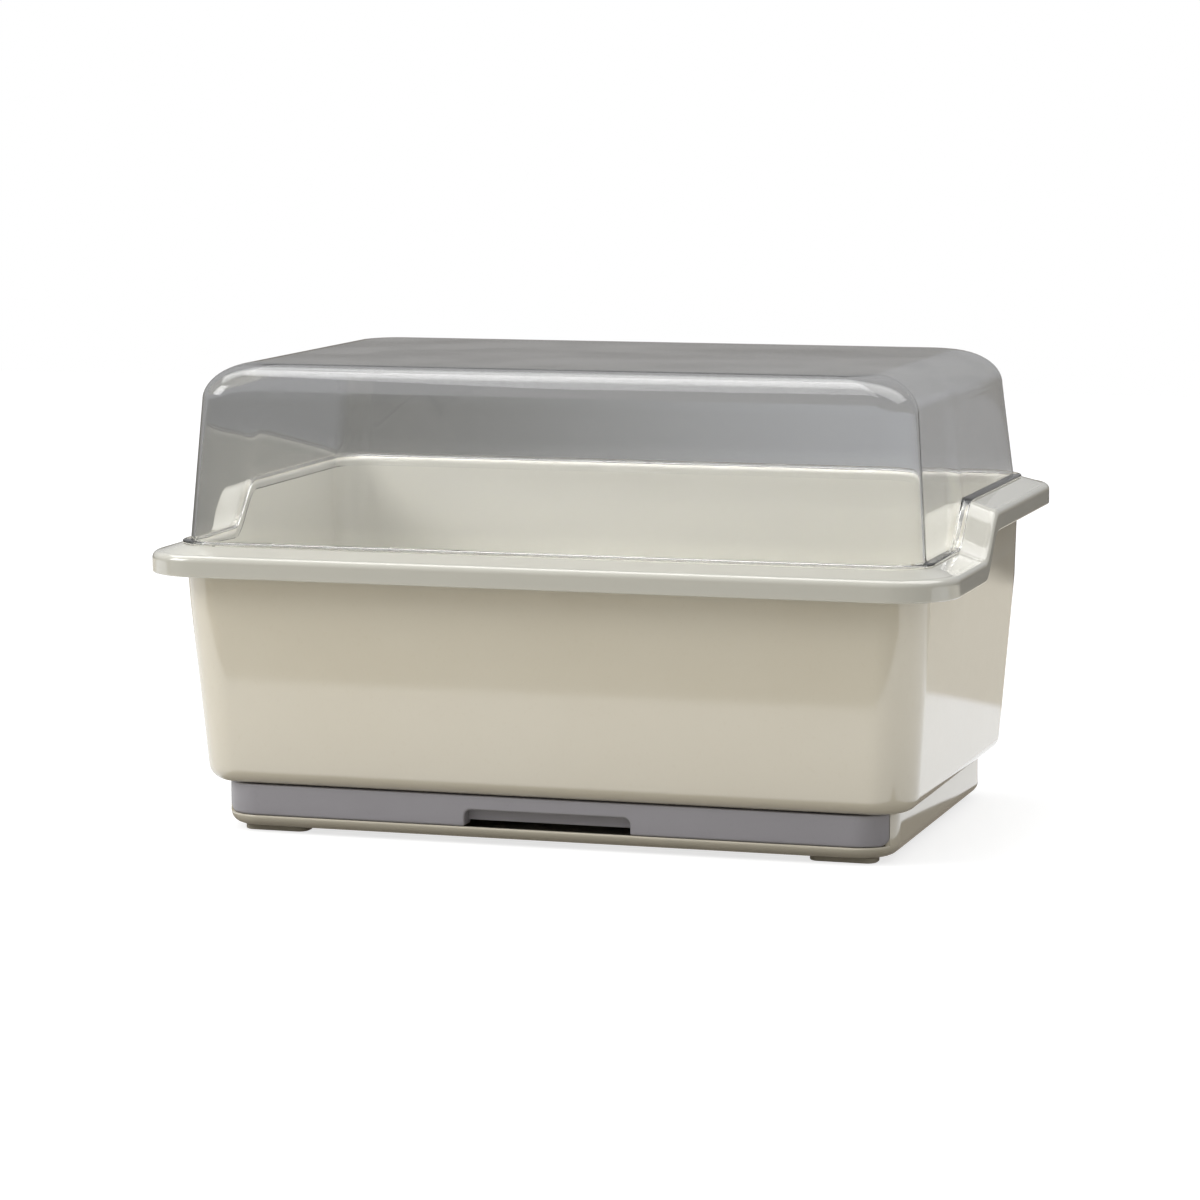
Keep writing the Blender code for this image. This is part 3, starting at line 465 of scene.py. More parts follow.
zinc, zinc_shader, zinc_place = finish("zinc_plated_steel", Metallic=1.0)
zinc_place.noise(900.0, 3.0).blend((0.62, 0.62, 0.60), (0.46, 0.46, 0.45)).into(zinc_shader, "Base Color")
(zinc_place.noise(600.0) * 0.25 + 0.22).into(zinc_shader, "Roughness")
zinc_place.noise(1800.0).bump(0.3, 0.00004).into(zinc_shader, "Normal")
screw_places = [(side * SCREW_X, y) for side in (-1, 1) for y in (-SCREW_Y, 0.0, SCREW_Y)]
for number, centre in enumerate(screw_places, start=1):
    piece(f"cross_screw_{number}", [screw_head(centre), screw_shank(centre)], zinc, "rack",
          [f"base_screw_{number}"])

# Drip tray
# A shallow pan in cool grey polypropylene that slides in on the base's ledges and catches the water from the
# tub's drain slots. Its thick front panel wraps round the base's front corners and has a finger pull in its
# lower edge, with a narrow slot under the pan.
GREY = (0.40, 0.385, 0.405)
GREY_SHADE = (0.355, 0.34, 0.36)
TRAY_LOW = 0.0141
TRAY_TOP = 0.028
TRAY_REAR = 0.120829
TRAY_WALL = 0.002
TRAY_CORNER = 0.008
TRAY_FILLET = 0.003
PANEL_HALF = 0.2029
PANEL_LOW = 0.0111
PANEL_TOP = 0.0294
PANEL_CORNER = 0.005
PANEL_SOFT = 0.0004
PANEL_EDGE = 0.0009
PULL_HALF = 0.051
PULL_TOP = 0.0210
PULL_CORNER = 0.004
PULL_SOFT = 0.0012
PULL_DEPTH = 0.0085
PULL_LIP = 0.003
PULL_UNDERCUT = 0.004
PULL_SLOT_TOP = 0.0139
WRAP_ANGLE = 0.70


def inset_by(outline, inset):
    """An outline moved in along its normals, the mean of a point's two sides' directions turned a quarter."""
    ahead, behind = np.roll(outline, -1, axis=0) - outline, outline - np.roll(outline, 1, axis=0)
    way = ahead / np.linalg.norm(ahead, axis=1, keepdims=True)
    way += behind / np.linalg.norm(behind, axis=1, keepdims=True)
    way /= np.linalg.norm(way, axis=1, keepdims=True)
    return outline - inset * np.stack([way[:, 1], -way[:, 0]], axis=1)


def edge_turn(edge, steps=4):
    """Insets and depths of a rounded edge: a flat stretch, then a quarter circle.

    On the circle the inset is edge * (1 - sine) and the depth is edge * (1 - cosine).
    """
    return [(1.8 * edge, 0.0)] + [(edge * (1 - math.sin(t)), edge * (1 - math.cos(t)))
                                  for t in np.linspace(0, math.pi / 2, steps)]


def panel(outline, front, back, edge):
    """A convex outline in x and z given depth along y, with both its edges rounded."""
    rows = [(inset, front + depth) for inset, depth in edge_turn(edge)]
    rows += [(inset, back - depth) for inset, depth in edge_turn(edge)[::-1]]
    grid = np.stack([np.insert(inset_by(outline, inset), 1, depth, axis=1) for inset, depth in rows])
    return skin(grid, cap_first=True, cap_last=True)


def rounded(corners, radii, steps=6):
    """An anticlockwise polygon whose corners are each replaced by an arc that touches both its sides."""
    corners = np.array(corners, dtype=float)
    points = []
    before_each, after_each = np.roll(corners, 1, axis=0), np.roll(corners, -1, axis=0)
    for corner, before, after, radius in zip(corners, before_each, after_each, radii):
        if radius == 0:
            points.append(corner[None])
            continue
        to_before = (before - corner) / np.linalg.norm(before - corner)
        to_after = (after - corner) / np.linalg.norm(after - corner)
        half = math.acos(np.clip(to_before @ to_after, -1, 1)) / 2
        middle = to_before + to_after
        centre = corner + middle / np.linalg.norm(middle) * radius / math.sin(half)
        first = corner + to_before * radius / math.tan(half) - centre
        last = corner + to_after * radius / math.tan(half) - centre
        share = np.linspace(0, 1, steps + 1)[:, None]
        span = math.pi - 2 * half
        arc = first * np.sin((1 - share) * span) + last * np.sin(share * span)
        points.append(centre + arc / math.sin(span))
    return np.concatenate(points)


def filled(outline, slots=(), reach=(0.0, 0.0), links=()):
    """Triangles that fill an outline, cut out where slots lie, with some of their edges along given links.

    Triangles whose middle lies within a slot's reach of its centre are dropped.
    """
    loops = [outline, *slots]
    starts = np.cumsum([0] + [len(loop) for loop in loops])
    edges = [(start + i, start + (i + 1) % len(loop)) for start, loop in zip(starts, loops)
             for i in range(len(loop))]
    flat = [Vector(point) for point in np.concatenate(loops).tolist()]
    points, _, faces, *_ = delaunay_2d_cdt(flat, edges + list(links), [list(range(len(outline)))], 1, 1e-8)
    points = np.array([tuple(point) for point in points])
    faces = np.array([face for face in faces if len(face) == 3])
    if len(slots):
        off = np.abs(points[faces].mean(axis=1)[:, None] - np.array([loop.mean(axis=0) for loop in slots]))
        faces = faces[~((off[..., 0] < reach[0]) & (off[..., 1] < reach[1])).any(axis=1)]
    return points, faces.tolist()


def pull_outline(height, corner):
    """The panel's outline in x and z with the finger pull cut into its lower edge up to a height.

    Where the panel wraps round the base's corners, the long edges get points at evenly spaced angles of the
    corner's circle, and the upper edge also some above the points of the lower rounded corner.
    """
    wrap = BASE_HALF[0] - BASE_CORNER + BASE_CORNER * np.sin(np.linspace(0, WRAP_ANGLE, 10))
    above = PANEL_HALF - PANEL_CORNER * (1 - np.sin(np.linspace(0, math.pi / 2, 7)[1:4]))
    low = [(x, PANEL_LOW) for x in wrap]
    high = [(x, PANEL_TOP) for x in (*wrap, *above)]
    corners = [(-PANEL_HALF, PANEL_LOW), *[(-x, z) for x, z in low[::-1]],
               (-PULL_HALF, PANEL_LOW), (-PULL_HALF, height), (PULL_HALF, height), (PULL_HALF, PANEL_LOW),
               *low, (PANEL_HALF, PANEL_LOW),
               (PANEL_HALF, PANEL_TOP), *high[::-1], *[(-x, z) for x, z in high], (-PANEL_HALF, PANEL_TOP)]
    radii = [PANEL_CORNER, *[0] * len(low), PULL_SOFT, corner, corner, PULL_SOFT,
             *[0] * len(low), PANEL_CORNER, PANEL_SOFT, *[0] * 2 * len(high), PANEL_SOFT]
    return rounded(corners, radii)


def panel_face(x):
    """How far forward the panel reaches: the base's outline, straight and then along the corner's circle."""
    over = np.clip(np.abs(x) - (BASE_HALF[0] - BASE_CORNER), 0, BASE_CORNER)
    return -(BASE_HALF[1] - BASE_CORNER) - np.sqrt(BASE_CORNER ** 2 - over ** 2)


def drawer_front():
    """The panel as rows of matching outlines from its face to its back.

    They go over the rounded front edge, along the pull's lip, up behind it, back along the recess, down its
    rear wall to the slot's height, and on to the flat back. In the wrapped ends a row stays behind the
    curved face and in front of the back.
    """
    back = PANEL_BACK - PANEL_GAP
    lip = pull_outline(PULL_TOP, PULL_CORNER)
    hook = pull_outline(PULL_TOP + PULL_UNDERCUT, PULL_CORNER)
    slot = pull_outline(PULL_SLOT_TOP, PULL_SOFT)
    rows = [(lip, inset, depth) for inset, depth in edge_turn(PANEL_EDGE)]
    rows += [(lip, 0.0, PULL_LIP), (hook, 0.0, PULL_LIP), (hook, 0.0, PULL_DEPTH), (slot, 0.0, PULL_DEPTH)]
    rows += [(slot, inset, back + BASE_HALF[1] - depth) for inset, depth in edge_turn(PANEL_EDGE / 2)[::-1]]
    flat = np.stack([inset_by(outline, inset) for outline, inset, _ in rows])
    depth = np.array([depth for _, _, depth in rows])[:, None]
    face = panel_face(flat[..., 0])
    y = np.minimum(np.maximum(depth - BASE_HALF[1], face + np.minimum(depth, PANEL_EDGE)), back)
    grid = np.stack([flat[..., 0], y, flat[..., 1]], axis=-1)
    outline = flat[0]
    reach = np.abs(outline[:, 0])
    upper = np.flatnonzero((outline[:, 1] > PANEL_TOP - 0.003) & (reach < PANEL_HALF - 0.002))
    lower = np.flatnonzero((outline[:, 1] < PANEL_TOP - 0.008) & (reach > PULL_HALF + 0.01))
    nearest = np.abs(outline[upper, 0][:, None] - outline[lower, 0]).argmin(axis=1)
    cap, cap_faces = filled(outline, links=list(zip(upper.tolist(), lower[nearest].tolist())))
    rear, rear_faces = filled(flat[-1])
    return [skin(grid), (np.stack([cap[:, 0], panel_face(cap[:, 0]), cap[:, 1]], axis=-1), cap_faces),
            (np.insert(rear, 1, back, axis=1), rear_faces)]


grey = moulded("grey_polypropylene", GREY, GREY_SHADE, 0.30, 1000.0, 0.00007)
tray_half_y = (TRAY_REAR - PANEL_BACK) / 2
tray_rows = pan_rows(TRAY_HALF, tray_half_y, TRAY_CORNER, TRAY_WALL, TRAY_FILLET, TRAY_LOW, TRAY_TOP)
tray_grid = hoops(tray_rows, ring(), (0.0, (TRAY_REAR + PANEL_BACK) / 2))
tray_skin = skin(tray_grid, cap_first=True, cap_last=True)
piece("drip_pan", [tray_skin], grey, "tray", ["drip_tray"])
piece("drawer_front", drawer_front(), grey, "tray", ["tray_front"])

# Tub
# The big cream pan that holds everything: injection-moulded glossy polypropylene with a down-turned rim. The
# rim is low in front and climbs a ramp on each side to the high rear part. Drain slots pierce its floor.
RIM_HALF = (0.245, 0.160)
RIM_CORNER = 0.0365
RIM_OVERHANG = 0.018
RIM_ROUND = 0.004
RIM_STEP = 0.0264
RAMP_START = -0.055
RAMP_RUN = 0.034
SEAT_LEVEL = 0.1737
LIP_TOP = 0.1697
LIP_LOW = 0.157
LIP_EDGE = 0.0008
LIP_CHAMFER = 0.0006
TUB_LOW = 0.030
TUB_WALL = 0.0025
TUB_CORNER = 0.026
TUB_FILLET = 0.0075
TUB_DRAFT = 0.073
FLOOR_LEVEL = TUB_LOW + TUB_WALL
WALL_BREAK = 0.139
SLOT_HALF = (0.015, 0.002)
SLOT_PITCH = (0.040, 0.026)
SLOT_COUNT = (9, 7)
BOSS_RADIUS = 0.004
BOSS_EDGE = 0.0004
BOSS_GAP = 0.0003
BORE_RADIUS = 0.002
# Painted light and shade on the tub: its inner walls above the floor are painted paler for light falling
# inside, and its rim greyer for shade on it.
INNER_PAINTED_LIGHT = (0.80, 0.785, 0.71)
RIM_PAINTED_SHADE = (0.57, 0.555, 0.485)


def step_up(x, y):
    """The rim's climb: nothing in front of the ramp, the full step behind it, eased as 3 s^2 - 2 s^3."""
    share = np.clip((y - RAMP_START) / RAMP_RUN, 0, 1)
    return RIM_STEP * share * share * (3 - 2 * share)


def slot_loops(places, half, steps=5):
    """Round-ended slots along x at given places: two half circles joined by straight sides."""
    angle = np.linspace(-math.pi / 2, math.pi / 2, steps + 1)
    end = np.stack([half[0] - half[1] + half[1] * np.cos(angle), half[1] * np.sin(angle)], axis=1)
    return np.concatenate([end, -end])[None] + np.array(places)[:, None, :]


def slotted(grid, top, low, places, half):
    """A grid closed by a slotted floor: its first row bounds the floor's top and its last row the underside.

    Both faces are flat and open where the slots lie, and each slot has walls between the two levels.
    """
    loops = slot_loops(places, half)
    skins = [skin(grid)]
    for row, level in ((grid[0], top), (grid[-1], low)):
        points, faces = filled(row[:, :2], loops, half)
        skins.append((np.insert(points, 2, level, axis=1), faces))
    return skins + [skin(np.stack([np.insert(loop, 2, level, axis=1) for level in (low, top)]))
                    for loop in loops]


def spread(count, pitch):
    """Evenly spaced places about nought: (number - (count - 1) / 2) * pitch."""
    return (np.arange(count) - (count - 1) / 2) * pitch


def tub_rows():
    """The wall's section: up the inside from the floor's edge, over the rim, and down to the outer floor.

    A wall leans in below the lip by TUB_DRAFT times the depth, and the rim's corner radius grows outwards in
    proportion to the distance. The bends are arcs of circles.
    """
    wall_corner = TUB_CORNER - TUB_WALL
    width = RIM_OVERHANG + TUB_WALL
    turn = np.linspace(0, math.pi / 2, 9)

    def wall(out, level):
        lean = TUB_DRAFT * (LIP_LOW - min(level, LIP_LOW))
        return (RIM_HALF[0] - width - lean + out, RIM_HALF[1] - width - lean + out, wall_corner + out,
                level, 0.0)

    def rim(out, level):
        corner = wall_corner + (RIM_CORNER - wall_corner) * out / width
        return (RIM_HALF[0] - width + out, RIM_HALF[1] - width + out, corner, level, 1.0)

    foot = FLOOR_LEVEL + TUB_FILLET
    foot_x, foot_y, foot_corner = wall(0.0, foot)[:3]

    def fillet(radius, t):
        inset = TUB_FILLET - radius * math.sin(t)
        return (foot_x - inset, foot_y - inset, foot_corner - inset, foot - radius * math.cos(t), 0.0)

    rows = [fillet(TUB_FILLET, t) for t in turn]
    rows += [wall(0.0, level) for level in (foot + 0.002, 0.09, WALL_BREAK)]
    rows += [rim(RIM_ROUND * (1 - math.cos(t)), SEAT_LEVEL - RIM_ROUND * (1 - math.sin(t))) for t in turn]
    slope = (LIP_TOP - SEAT_LEVEL) / (width - 2 * RIM_ROUND)
    rows += [rim(RIM_ROUND + out, SEAT_LEVEL + slope * out)
             for out in (FLAT_STRETCH, width - 2 * RIM_ROUND - FLAT_STRETCH)]
    rows += [rim(width - RIM_ROUND * (1 - math.sin(t)), LIP_TOP - RIM_ROUND * (1 - math.cos(t)))
             for t in turn]
    rows += [rim(width, LIP_TOP - RIM_ROUND - FLAT_STRETCH), rim(width, LIP_LOW + 0.0010)]
    rows += [rim(width - LIP_EDGE * (1 - math.cos(t)), LIP_LOW + LIP_EDGE * (1 - math.sin(t)))
             for t in turn[::3]]
    rows += [rim(width - TUB_WALL + LIP_CHAMFER, LIP_LOW), rim(width - TUB_WALL, LIP_LOW + LIP_CHAMFER)]
    under = RIM_ROUND - TUB_WALL
    rows += [rim(width - RIM_ROUND + under * math.sin(t), LIP_TOP - RIM_ROUND + under * math.cos(t))
             for t in turn[::-2]]
    rows += [rim(RIM_ROUND - under * math.cos(t), SEAT_LEVEL - RIM_ROUND + under * math.sin(t))
             for t in turn[::-2]]
    rows += [wall(TUB_WALL, level) for level in (WALL_BREAK, 0.09, foot + 0.002)]
    rows += [fillet(TUB_FILLET + TUB_WALL, t) for t in turn[::-1]]
    return rows


def above_step(place):
    """A point's level with the rim's climb taken off, so that one level follows the rim all round."""
    _, along, level = place.parts()
    return level - along.between(RAMP_START, RAMP_START + RAMP_RUN) * RIM_STEP


def out_of_mouth(place):
    """How far a point lies outside the tub's mouth.

    It is the distance to a rounded rectangle that narrows downward as the walls lean: nothing on the inner
    wall, the wall's thickness on the outer.
    """
    *sides, level = place.parts()
    drop = LIP_LOW - place.math("MINIMUM", level, LIP_LOW)
    corner = TUB_CORNER - TUB_WALL
    reach = []
    for side, half in zip(sides, RIM_HALF):
        straight = half - RIM_OVERHANG - TUB_WALL - corner
        beyond = place.math("ABSOLUTE", side) + drop * TUB_DRAFT - straight
        reach.append(place.math("MAXIMUM", beyond, 0.0))
    return (reach[0] ** 2.0 + reach[1] ** 2.0) ** 0.5 - corner


def tub_painted_shading(place, body):
    """Painted light and shade: the inner walls above the floor paler as painted light and the rim greyer as
    painted shade, with the body's own colour everywhere else.
    """
    outside = out_of_mouth(place)
    inner = (1 - outside.between(0.0006, 0.002)) * place.parts()[2].between(0.042, 0.050)
    rim = above_step(place).between(0.150, 0.160) * outside.between(0.0, 0.004)
    return rim.blend(inner.blend(body, INNER_PAINTED_LIGHT), RIM_PAINTED_SHADE)


# The tub's plastic, with painted light on its inner walls and painted shade on its rim.
tub_cream = moulded("cream_polypropylene_tub_painted_shading", CREAM, CREAM_SHADE, 0.12, 1100.0, 0.00004, polish=1.0,
                    paint_shading=tub_painted_shading)
tub_grid = hoops(tub_rows(), ring(20, 30, 72), climb=step_up)
slot_places = [(x, y) for x in spread(SLOT_COUNT[0], SLOT_PITCH[0])
               for y in spread(SLOT_COUNT[1], SLOT_PITCH[1])]
tub_skins = slotted(tub_grid, FLOOR_LEVEL, TUB_LOW, slot_places, SLOT_HALF)
boss_low = BASE_FLOOR + BOSS_GAP
boss_profile = ((BORE_RADIUS, SCREW_TIP + 0.004), (BORE_RADIUS, boss_low),
                (BOSS_RADIUS - BOSS_EDGE, boss_low), (BOSS_RADIUS, boss_low + BOSS_EDGE),
                (BOSS_RADIUS, TUB_LOW + TUB_WALL / 2))
tub_skins += [turned(boss_profile, centre) for centre in screw_places]
piece("tub_shell", tub_skins, tub_cream, "rack", ["tub"])

# Cutlery caddy
# A tall box moulded in satin off-white polypropylene, which lifts out. Two cross walls make three rooms, its
# floor is slotted, and three low feet let the water run out below.
OFF_WHITE = (0.80, 0.79, 0.74)
OFF_WHITE_SHADE = (0.76, 0.745, 0.69)
INSERT_HALF_Y = 0.109659
STAND = 0.0328
CADDY_X = -0.163523
CADDY_HALF = 0.039136
CADDY_WALL = 0.002
CADDY_TOP = 0.1248
CADDY_ROUND = 0.001
CADDY_FOOT = 0.003
CADDY_FLOOR = STAND + CADDY_FOOT + CADDY_WALL
CADDY_CORNER = 0.010
CADDY_FILLET = 0.003
CADDY_LEAN = 0.02
CADDY_WALLS_Y = (-0.043864, 0.026318)
CADDY_FEET_Y = (-0.0530, 0.0, 0.0530)
CADDY_FOOT_HALF = (0.0323, 0.002)
CADDY_SLOT_HALF = (0.020, 0.0015)
CADDY_SLOT_PITCH = 0.012
CADDY_SLOT_MARGIN = 0.015
INSERT_EDGE = 0.0008


def caddy_rows():
    """The section: inner floor edge, fillet, leaning wall, half-round top edge, and the outside back down."""
    turn = np.linspace(0, math.pi / 2, 6)
    bend = CADDY_FLOOR + CADDY_FILLET
    rise = CADDY_TOP - CADDY_FLOOR - CADDY_FILLET
    foot_x = CADDY_HALF - CADDY_WALL - CADDY_LEAN * rise
    foot_y = INSERT_HALF_Y - CADDY_WALL - CADDY_LEAN * rise
    corner = CADDY_CORNER - CADDY_WALL
    outer = CADDY_FILLET + CADDY_WALL

    def wall(share, out, level):
        lean = CADDY_LEAN * rise * share
        return (foot_x + lean + out, foot_y + lean + out, corner + out, level, 0)

    rows = [wall(0, -CADDY_FILLET * (1 - math.sin(t)), CADDY_FLOOR + CADDY_FILLET * (1 - math.cos(t)))
            for t in turn]
    rows += [wall(0.03, 0, bend + 0.03 * rise), wall(1, 0, CADDY_TOP - CADDY_ROUND)]
    rows += [wall(1, CADDY_WALL / 2 * (1 - math.cos(t)), CADDY_TOP - CADDY_ROUND * (1 - math.sin(t)))
             for t in np.linspace(0, math.pi, 9)[1:-1]]
    rows += [wall(1, CADDY_WALL, CADDY_TOP - CADDY_ROUND), wall(0.03, CADDY_WALL, bend + 0.03 * rise)]
    rows += [wall(0, CADDY_WALL - outer * (1 - math.sin(t)),
                  CADDY_FLOOR - CADDY_WALL + outer * (1 - math.cos(t))) for t in turn[::-1]]
    return rows


off_white = moulded("satin_off_white_polypropylene", OFF_WHITE, OFF_WHITE_SHADE, 0.36, 900.0, 0.00007)
caddy_grid = hoops(caddy_rows(), ring(8, 8, 20), (CADDY_X, 0.0))
room_edges = (-INSERT_HALF_Y, *CADDY_WALLS_Y, INSERT_HALF_Y)
caddy_slots = []
for near, far in zip(room_edges, room_edges[1:]):
    count = int((far - near - CADDY_SLOT_MARGIN) / CADDY_SLOT_PITCH)
    caddy_slots += [(CADDY_X, (near + far) / 2 + offset) for offset in spread(count, CADDY_SLOT_PITCH)]
caddy_skins = slotted(caddy_grid, CADDY_FLOOR, CADDY_FLOOR - CADDY_WALL, caddy_slots, CADDY_SLOT_HALF)
inner_x = CADDY_HALF - CADDY_WALL / 2 - 0.0017
for y in CADDY_WALLS_Y:
    caddy_skins.append(bar((CADDY_X - inner_x, y - CADDY_WALL / 2, CADDY_FLOOR - JOIN_DEPTH),
                           (CADDY_X + inner_x, y + CADDY_WALL / 2, CADDY_TOP - 0.012), INSERT_EDGE))
for y in CADDY_FEET_Y:
    caddy_skins.append(bar((CADDY_X - CADDY_FOOT_HALF[0], y - CADDY_FOOT_HALF[1], STAND),
                           (CADDY_X + CADDY_FOOT_HALF[0], y + CADDY_FOOT_HALF[1], CADDY_FLOOR - JOIN_DEPTH),
                           INSERT_EDGE))
piece("cutlery_box", caddy_skins, off_white, "caddy", ["cutlery_caddy"])

# Bowl rack
# A slotted deck on two long legs, in the same off-white plastic, which lifts out. Four low ribs with rounded
# ends part it into three bays, and the slots let the water through.
BOWL_LEFT = -0.120387
BOWL_RIGHT = 0.007947
DECK_LOW = STAND + 0.024
DECK_TOP = DECK_LOW + 0.003
DECK_CORNER = 0.003
DECK_PROFILE = ((0.0011, DECK_TOP), (0.0005, DECK_TOP - 0.0002), (0.0003, DECK_TOP - 0.0008),
                (0.0003, DECK_LOW + 0.0008), (0.0005, DECK_LOW + 0.0002), (0.0011, DECK_LOW))
LEG_WIDTH = 0.003
RIB_TOP = DECK_TOP + 0.014
RIB_HALF = 0.0015
RIB_COUNT = 4
RIB_PITCH = (2 * INSERT_HALF_Y - 2 * RIB_HALF) / (RIB_COUNT - 1)
RIB_SHORT = 0.0006
BAY_SLOTS = 4

bowl_x = (BOWL_LEFT + BOWL_RIGHT) / 2
bowl_half = (BOWL_RIGHT - BOWL_LEFT) / 2
deck_slots = [(bowl_x, bay + offset) for bay in spread(RIB_COUNT - 1, RIB_PITCH)
              for offset in spread(BAY_SLOTS, (RIB_PITCH - 2 * RIB_HALF) / BAY_SLOTS)]
deck_slot_half = (bowl_half - 0.011, 0.0025)
deck_rows = [(bowl_half - inset, INSERT_HALF_Y - inset, DECK_CORNER - inset, level, 0)
             for inset, level in DECK_PROFILE]
deck_grid = hoops(deck_rows, ring(4, 8, 16), (bowl_x, 0.0))
bowl_skins = slotted(deck_grid, DECK_TOP, DECK_LOW, deck_slots, deck_slot_half)
for x in (BOWL_LEFT, BOWL_RIGHT - LEG_WIDTH):
    bowl_skins.append(bar((x, RIB_SHORT - INSERT_HALF_Y, STAND),
                          (x + LEG_WIDTH, INSERT_HALF_Y - RIB_SHORT, DECK_LOW + 0.0015), INSERT_EDGE))
rib_left, rib_right, rib_low = BOWL_LEFT + RIB_SHORT, BOWL_RIGHT - RIB_SHORT, DECK_LOW + 0.0003
rib_outline = rounded([(rib_left, rib_low), (rib_right, rib_low), (rib_right, RIB_TOP), (rib_left, RIB_TOP)],
                      [0.0005, 0.0005, 0.008, 0.008])
for y in spread(RIB_COUNT, RIB_PITCH):
    bowl_skins.append(panel(rib_outline, y - RIB_HALF, y + RIB_HALF, 0.001))
piece("bowl_stand", bowl_skins, off_white, "bowl_rack", ["bowl_rack"])

# Plate rack
# A comb of twelve round-shouldered upright fins, in the same off-white plastic, which lifts out. Two long
# legs join the fins at their ends, and two bars join them lower down in between.
PLATE_LEFT = 0.011947
PLATE_RIGHT = 0.202660
FIN_COUNT = 12
FIN_HALF = 0.00125
FIN_SHORT = 0.0015
FIN_PITCH = (2 * INSERT_HALF_Y - 2 * FIN_HALF) / (FIN_COUNT - 1)
FIN_LOW = STAND + 0.014
FIN_TOP = STAND + 0.070
LEG_TOP = STAND + 0.040
BAR_TOP = STAND + 0.030

fin_left, fin_right = PLATE_LEFT + FIN_SHORT, PLATE_RIGHT - FIN_SHORT
fin_outline = rounded([(fin_left, FIN_LOW), (fin_right, FIN_LOW), (fin_right, FIN_TOP), (fin_left, FIN_TOP)],
                      [0.002, 0.002, 0.018, 0.018], 10)
plate_skins = [panel(fin_outline, y - FIN_HALF, y + FIN_HALF, 0.0009) for y in spread(FIN_COUNT, FIN_PITCH)]
for x, low, high, width, short in ((PLATE_LEFT, STAND, LEG_TOP, LEG_WIDTH, 0.0003),
                                   (PLATE_RIGHT - LEG_WIDTH, STAND, LEG_TOP, LEG_WIDTH, 0.0003),
                                   (PLATE_LEFT + 0.033, BAR_TOP - 0.008, BAR_TOP, 0.004, 0.001),
                                   (PLATE_RIGHT - 0.037, BAR_TOP - 0.008, BAR_TOP, 0.004, 0.001)):
    plate_skins.append(bar((x, short - INSERT_HALF_Y, low), (x + width, INSERT_HALF_Y - short, high),
                           INSERT_EDGE))
piece("plate_comb", plate_skins, off_white, "plate_rack", ["plate_rack"])

# Lid
# A one-piece dome moulded in clear smoke-grey styrene plastic, 2 mm thick. Its skirt drops inside the tub's
# mouth and a narrow flange rests on the rim, so it lifts straight off.
SMOKE = (0.88, 0.88, 0.88)
SMOKE_FOOT = (0.98, 0.98, 0.975)
LID_TOP = 0.280
LID_WALL = 0.002
LID_HALF = (0.2239, 0.1375)
LID_CORNER = 0.020
LID_DRAFT = 0.072
LID_ROUND = (0.030, 0.020, 0.022)
LID_SKIRT = 0.006
FLANGE_WIDTH = 0.005
FLANGE_LOW = SEAT_LEVEL + 0.0003
FLANGE_TOP = FLANGE_LOW + 0.0015
TOP_STRETCH = 0.003


def lid_rows():
    """The section: outer flat top, shoulder, leaning wall, flange and skirt, and the inside back up.

    The shoulder is an ellipse, whose insets are radius * (1 - sine) and drops radius * (1 - cosine). The
    inside lies one wall's thickness further in, and the wall runs straight from the shoulder's foot to the
    flange.
    """
    foot_level = LID_TOP - LID_ROUND[2]
    turn = np.linspace(0, math.pi / 2, 15)

    def shoulder(t, inset=0.0):
        share = 1 - math.sin(t)
        foot = LID_DRAFT * (foot_level - SEAT_LEVEL)
        drop = LID_ROUND[2] * (1 - math.cos(t))
        return (LID_HALF[0] - foot - LID_ROUND[0] * share - inset * math.sin(t),
                LID_HALF[1] - foot - LID_ROUND[1] * share - inset * math.sin(t),
                LID_CORNER - inset * math.sin(t), LID_TOP - drop - inset * math.cos(t), 0.0)

    def wall(level, out=0.0):
        return (LID_HALF[0] + out, LID_HALF[1] + out, LID_CORNER + out, level, 1.0)

    def between(first, last, share):
        return tuple(a + (b - a) * share for a, b in zip(first, last))

    skirt_low = SEAT_LEVEL - LID_SKIRT
    outer_foot, outer_seat = shoulder(turn[-1]), wall(FLANGE_TOP + 0.0006)
    inner_foot, inner_seat = shoulder(turn[-1], LID_WALL), wall(FLANGE_TOP, -LID_WALL)
    first = shoulder(0.0)
    rows = [(first[0] - TOP_STRETCH, first[1] - TOP_STRETCH, first[2], first[3], 0.0)]
    rows += [shoulder(t) for t in turn]
    rows += [between(outer_foot, outer_seat, share) for share in (0.04, 0.35, 0.7, 0.97, 1.0)]
    rows += [wall(FLANGE_TOP, 0.0006), wall(FLANGE_TOP, FLANGE_WIDTH - 0.0008),
             wall(FLANGE_TOP - 0.0003, FLANGE_WIDTH - 0.0002), wall(FLANGE_TOP - 0.001, FLANGE_WIDTH),
             wall(FLANGE_LOW + 0.0003, FLANGE_WIDTH - 0.0002), wall(FLANGE_LOW, FLANGE_WIDTH - 0.0008),
             wall(FLANGE_LOW, 0.0004), wall(FLANGE_LOW - 0.0004)]
    rows += [wall(skirt_low + 0.0008), wall(skirt_low + 0.0002, -0.0002), wall(skirt_low, -0.0008),
             wall(skirt_low, 0.0008 - LID_WALL), wall(skirt_low + 0.0008, -LID_WALL)]
    rows += [between(inner_foot, inner_seat, share) for share in (1.0, 0.97, 0.7, 0.35, 0.04)]
    rows += [shoulder(t, LID_WALL) for t in turn[::-1]]
    rows.append((first[0] - TOP_STRETCH, first[1] - TOP_STRETCH, first[2], first[3] - LID_WALL, 0.0))
    return rows


